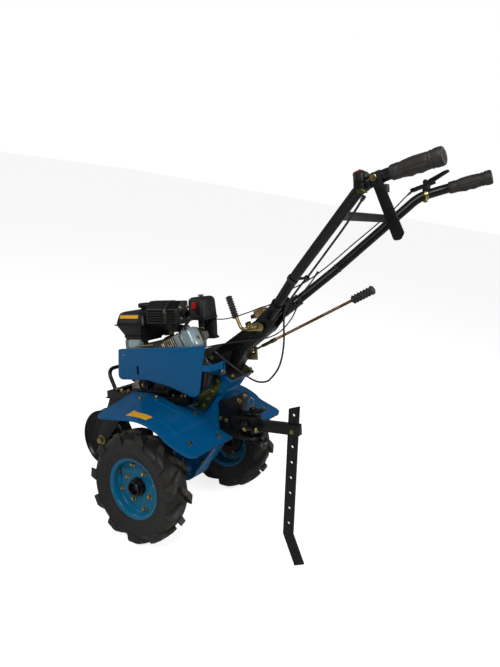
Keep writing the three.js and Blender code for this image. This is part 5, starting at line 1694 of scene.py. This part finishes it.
def knurledGrip(start, end, radius, knurls, rings):
    # a grip with blunt knobs in rows round it
    along, across, other = axesFor(end - start)
    length = (end - start).length
    loops = []
    rows = rings * 6
    for row in range(rows + 1):
        share = row / rows
        cap = min(1.0, 0.72 + 4 * min(share, 1 - share))
        swell = 0.5 - 0.5 * math.cos(2 * math.pi * rings * share)
        loop = []
        for step in range(knurls * 6):
            turn = 2 * math.pi * step / (knurls * 6)
            knob = swell * (0.5 + 0.5 * math.cos(knurls * turn)) ** 0.5
            size = cap * (radius - 3.2) + 4.4 * knob
            loop.append(start + along * length * share + size * around(turn, across, other))
        loops.append(loop)
    return stacked(loops)


def addLockLever(setup):
    x, z = pivotAt[0], pivotAt[2]
    face = levelBox("lock_lever")[1][1] - 20
    y = face + 12
    rod = swept(bentRoute([Vector((x + 4, y, z)), Vector((x + 70, y, z - 10)), Vector((x + 94, y, z + 50))],
                          22, 8),
                setup["rod"], 16)
    grip = knurledGrip(Vector((x + 90, y, z + 30)), Vector((x + 116, y, z + 108)), setup["grip"],
                       setup["knurls"], setup["rings"])
    arm = roundedOutline([(x - 16, z - 13), (x - 18, z + 10), (x + 8, z + 16), (x + 58, z - 1),
                          (x + 66, z - 10), (x + 54, z - 15)], [12, 12, 10, 8, 5, 8], 5)
    plate = soften(slab(arm, face + 5, face + 9.5), 0.9)
    disc = turned([(0, face), (16, face), (16.5, face + 0.8), (16.5, face + 4), (15.5, face + 5),
                   (0, face + 5)],
                  (x + 2, 0, z - 2), steps=36)
    nut = hexBolt((x + 36, face + 9.2, z), (0, 1, 0), 15, True, 3)
    bosses = [turned([(0, -4), (11, -4), (11, 6), (8, 9), (0, 9)], place, (0.3, 0.2, 1), 20)
              for place in ((x + 66, 10, z + 4), (x + 44, 6, z + 30))]
    rear = [turned([(0, 0), (15, 0), (15, 6), (10, 8), (0, 9)], (x, -face + 0.2, z), (0, -1, 0), 28)]
    addPiece("lock_lever_forging", "root", [
        (joined(rod, plate, nut), zincGold), (disc, copperSteel), (grip, gripRubber),
        (joined(*rear, *bosses), darkSteel)], ["lock_lever"])


addLockLever(lockLever)
low, high = levelBox("tilt_quadrant")
ear = [(pivotAt[0] + x, pivotAt[2] + z) for x, z in ((-12, 36), (6, 32), (22, 48), (-2, 58))]
folded = [soften(slab(ear, y, y + 2), 0.6) for y in (low[1] - 4, high[1] + 2)]
sectorBolt = hexBolt((pivotAt[0] + 8, high[1] + 2, pivotAt[2] + 44), (0, 1, 0), 9)
softCopy("tilt_quadrant", 0.5, [(joined(*folded, sectorBolt), zincGold)], angle=20)


# ---- gear rod and its guide ----
gearRod = {"front": (-304, -38, 440), "rear": (-722, -10, 626), "radius": 4.6, "thread": 2.6, "clevis": 40}


def threadedRod(start, end, radius, pitch):
    # a rod with a coarse rolled thread, drawn as a helical ripple
    along, across, other = axesFor(end - start)
    length = (end - start).length
    rows = int(length / pitch * 4)
    loops = []
    for row in range(rows + 1):
        height = length * row / rows
        loop = []
        for step in range(12):
            turn = 2 * math.pi * step / 12
            size = radius + 0.55 * math.cos(2 * math.pi * height / pitch - turn)
            loop.append(start + along * height + size * around(turn, across, other))
        loops.append(loop)
    return stacked(loops)


def addGearRod(setup):
    front, rear = Vector(setup["front"]), Vector(setup["rear"])
    along = (rear - front).normalized()
    joint = front + along * 62
    clevisEnd = joint + along * setup["clevis"]
    side = along.cross(Vector((0, 0, 1))).normalized()
    up = side.cross(along)

    def strip(a, b, offset, width, thick):
        corners = [(-width, -thick), (width, -thick), (width, thick), (-width, thick)]
        return soften(stacked([[p + side * offset + up * w + side * t for w, t in corners] for p in (a, b)]),
                      0.6)
    fork = [strip(joint - along * 4, clevisEnd, s * 6, 5.5, 1.3) for s in (1, -1)]
    fork.append(turned([(0, 0), (8.4, 0), (8.4, 12), (0, 12)], clevisEnd - along * 1, along, 6))
    nut = turned([(0, 0), (8, 0), (8, 7), (0, 7)], clevisEnd + along * 13, along, 6)
    pin = swept([joint + side * 11, joint - side * 11], 3, 12)
    thin = threadedRod(front, joint + along * 4, 3.6, setup["thread"])
    thick = threadedRod(clevisEnd + along * 8, rear - along * 8, setup["radius"], setup["thread"])
    end = rear + along * 72
    grip = knurledGrip(rear - along * 6, end, 14, 9, 7)
    ball = turned([(0, 0), (13, 0), (14.6, 2), (14.6, 5), (12, 8), (0, 9)], end - along * 6, along, 28)
    addPiece("gear_rod_assembly", "root", [
        (joined(thick), copperSteel), (joined(thin, nut, pin), zincGold), (joined(*fork), zincOlive),
        (joined(grip, ball), gripRubber)], ["gear_lever"])


addGearRod(gearRod)
guideLow, guideHigh = levelBox("gear_guide")
guideBolts = [hexBolt((x, guideLow[1], z), (0, -1, 0), 9) for x, z in ((guideLow[0] + 8, guideHigh[2] - 8),
                                                                      (guideHigh[0] - 8, guideLow[2] + 14))]
softCopy("gear_guide", 0.6, [(joined(*guideBolts), zincGold)])
print("handlebars made")


# ---- hitch bracket ----
hitch = {"height": 179, "boltsApart": 92, "boltHead": 112, "angle": 82, "ring": 17}
pinX = float(toLevel([joints["drag_hitch_swing"]["pos_m"]])[0][0])


def addBracket(setup):
    (front, _, top), middle = levelBox("hitch_bracket")[1], setup["height"]
    gold, black, grey = [], [], []
    for sign in (1, -1):
        # adjusting bolt: dome head, shank, long hexagon nut
        y = sign * setup["boltsApart"] / 2
        start = Vector((front - setup["boltHead"], y - sign * 2, middle - 4))
        back = Vector((-1, 0, 0))
        gold.append(turned([(0, -4), (7, -4), (8.5, 0), (8.5, 4), (0, 5)], start, back, 20))
        gold.append(turned([(0, 3), (5, 3), (5, 49), (0, 49)], start, back, 16))
        gold.append(turned([(0, 49), (9.6, 49), (10.6, 51), (10.6, 56), (8.6, 59), (0, 60)], start,
                           back, 20))
        gold.append(turned([(0, 0), (10.5, 0), (10.5, 8), (9.4, 9), (0, 9)], start + back * 4, back, 6))
        for x, z in ((front - 9, middle + 22), (front - 34, middle + 16), (front - 12, middle - 40)):
            gold.append(hexBolt((x, sign * 38, z), (0, sign, 0), 10))
        black.append(soften(block((front - 46, front - 0.3), sorted((sign * 34, sign * 38)),
                                  (middle - 56, middle + 32)), 1.4))
    # folded wings above the upper ear, and the curved lip of the lower jaw
    for sign in (1, -1):
        wing = [(pinX + 34, 8), (pinX - 22, 12), (pinX - 34, 34), (pinX + 30, 38)]
        loops = [[(x, sign * y, middle + 38 + 0.34 * (y - 8)) for x, y in wing],
                 [(x, sign * y, middle + 41 + 0.34 * (y - 8)) for x, y in wing]]
        black.append(soften(stacked(loops), 0.9))
    # the upright angle that carries the bracket on the back of the gearbox
    angle = front - setup["angle"]
    black.append(soften(block((angle, angle + 5), (-36, 36), (middle + 34, middle + 110)), 1.6))
    black.append(soften(slab([(angle + 4, middle + 34), (front - 2, middle + 34), (front - 2, middle + 84),
                              (angle + 4, middle + 110)], 31, 35), 1.4))
    for y, z in ((18, middle + 88), (-20, middle + 98)):
        gold.append(hexBolt((angle, y, z), (-1, 0, 0), 12))
    lip = []
    for share in np.linspace(0, 1, 15):
        turn = math.radians(95 + 170 * share)
        lip.append((pinX + 34 * math.cos(turn), 34 * math.sin(turn), middle - 41))
    black.append(swept([(pinX + 40, 34, middle - 41), *lip, (pinX + 40, -34, middle - 41)], 5, 12))
    black.append(swept([(pinX, 0, middle - 48), (pinX, 0, middle - 66)], 17, 24, [17, 13]))
    capAlong = Vector((-0.93, 0.2, -0.3))
    capAt = Vector((pinX - 6, 4, middle - 56))
    black.append(swept([capAt, capAt + capAlong * 38], 13, 20))
    grey.append(turned([(0, 0), (14, 0), (15, 2), (15, 13), (12, 16), (0, 17)], capAt + capAlong * 34,
                       capAlong, 6))
    topZ = top - 4
    head = turned([(0, -6), (13.5, -6), (14.5, -5), (14.5, -1), (12, 2), (0, 3)], (pinX, 0, topZ),
                  (0, 0, 1), 24)
    black.append(head)
    ring, size = [], setup["ring"]
    for turn in np.linspace(0, 2 * math.pi, 33):
        ring.append((pinX + 3 + 7.5 * math.cos(turn), 4 + 4 * math.cos(turn),
                     topZ + 6 + size + size * math.sin(turn)))
    gold.append(swept(ring, 1.7, 10))
    gold.append(swept([(pinX + 3, 4, topZ + 9), (pinX + 2, 3, topZ - 2)], 3, 12))
    gold.append(swept([(pinX - 12, 14, topZ + 4), (pinX + 2, 3, topZ + 8), (pinX + 14, -10, topZ + 4)],
                      1.8, 10))
    softCopy("hitch_bracket", 1.6, [(joined(*gold), zincGold), (joined(*black), blackSteel),
                                    (joined(*grey), darkSteel)])


addBracket(hitch)


# ---- drag arm and stake ----
dragArm = {"half": 12, "bolt": (-481, 172), "gusset": (-74, -40), "gussetHalf": 17}
armFront, half = levelBox("drag_arm")[1][0], dragArm["half"]
boltX, boltZ = dragArm["bolt"]
armBolts = [hexBolt((boltX, sign * half, boltZ), (0, sign, 0), 10, True, 3 if sign < 0 else 0)
            for sign in (1, -1)]
gusset = soften(block([armFront + x for x in dragArm["gusset"]], (-half - 1.6, half + 1.6),
                      [hitch["height"] + sign * dragArm["gussetHalf"] for sign in (-1, 1)]), 1.2)
softCopy("drag_arm", 1.2, [(gusset, blackSteel), (joined(*armBolts), zincGold)])
softCopy("drag_stake", 0.8)
print("hitch made")


# ---- cables ----
cables = {
    "clutch_cable": {"radius": 3.2, "fixed": (-300, 90, 415), "moving": (-604, 108, 690), "route": [
        (-875, 258, 914), (-806, 222, 849), (-724, 168, 786), (-637, 120, 716), (-604, 108, 689),
        (-574, 100, 661), (-546, 97, 629), (-524, 92, 584), (-514, 88, 492), (-492, 86, 421),
        (-454, 84, 375), (-428, 84, 362), (-393, 84, 363), (-351, 86, 383), (-304, 92, 415), (-268, 96, 441),
        (-240, 98, 463)]},
    "throttle_cable": {"radius": 2.2, "fixed": (-205, -70, 561), "moving": (-603, -132, 748), "route": [
        (-109, -82, 556), (-155, -76, 554), (-205, -70, 561), (-276, -62, 578), (-340, -60, 598),
        (-385, -64, 611), (-443, -74, 652), (-491, -106, 676), (-543, -120, 706), (-603, -132, 748),
        (-662, -165, 800), (-723, -200, 852), (-781, -232, 904), (-820, -250, 944), (-837, -262, 960)]},
    "stop_wire": {"radius": 2.2, "fixed": (-251, 46, 482), "moving": (-590, 82, 656), "route": [
        (-20, 62, 448), (-70, 60, 452), (-125, 58, 460), (-200, 50, 474), (-251, 46, 482), (-328, 46, 492),
        (-372, 48, 497), (-427, 40, 506), (-462, 16, 524), (-502, 14, 562), (-540, 40, 600), (-590, 82, 656),
        (-626, 92, 690), (-658, 104, 722)]},
}


def addCable(name, setup):
    route, radius = smoothRoute(setup["route"], 160), setup["radius"]
    layers = [(swept(route, radius, 14), sheathPlastic)]
    ends = []
    for here, ahead in ((route[0], route[3]), (route[-1], route[-4])):
        along = (Vector(ahead) - Vector(here)).normalized()
        ends.append(turned([(0, 0), (1.5 * radius, 0), (1.7 * radius, 1), (1.7 * radius, 11),
                            (1.2 * radius, 16), (0, 16)], here, along, 16))
    layers.append((joined(*ends), darkSteel))
    span = toRow([setup["fixed"], setup["moving"]])
    addPiece(f"{name}_sheath", handleBody, layers, [name],
             blend=(tuple(span[0]), tuple(span[1])))


for name, setup in cables.items():
    addCable(name, setup)
print("cables made")

# whatever is left shows its own CAD shape, with rounded edges
rest = [node for node in frame["nodes"] if not frame["nodes"][node].hide_render]
for node in rest:
    softCopy(node, 0.8)

print("pieces finished")
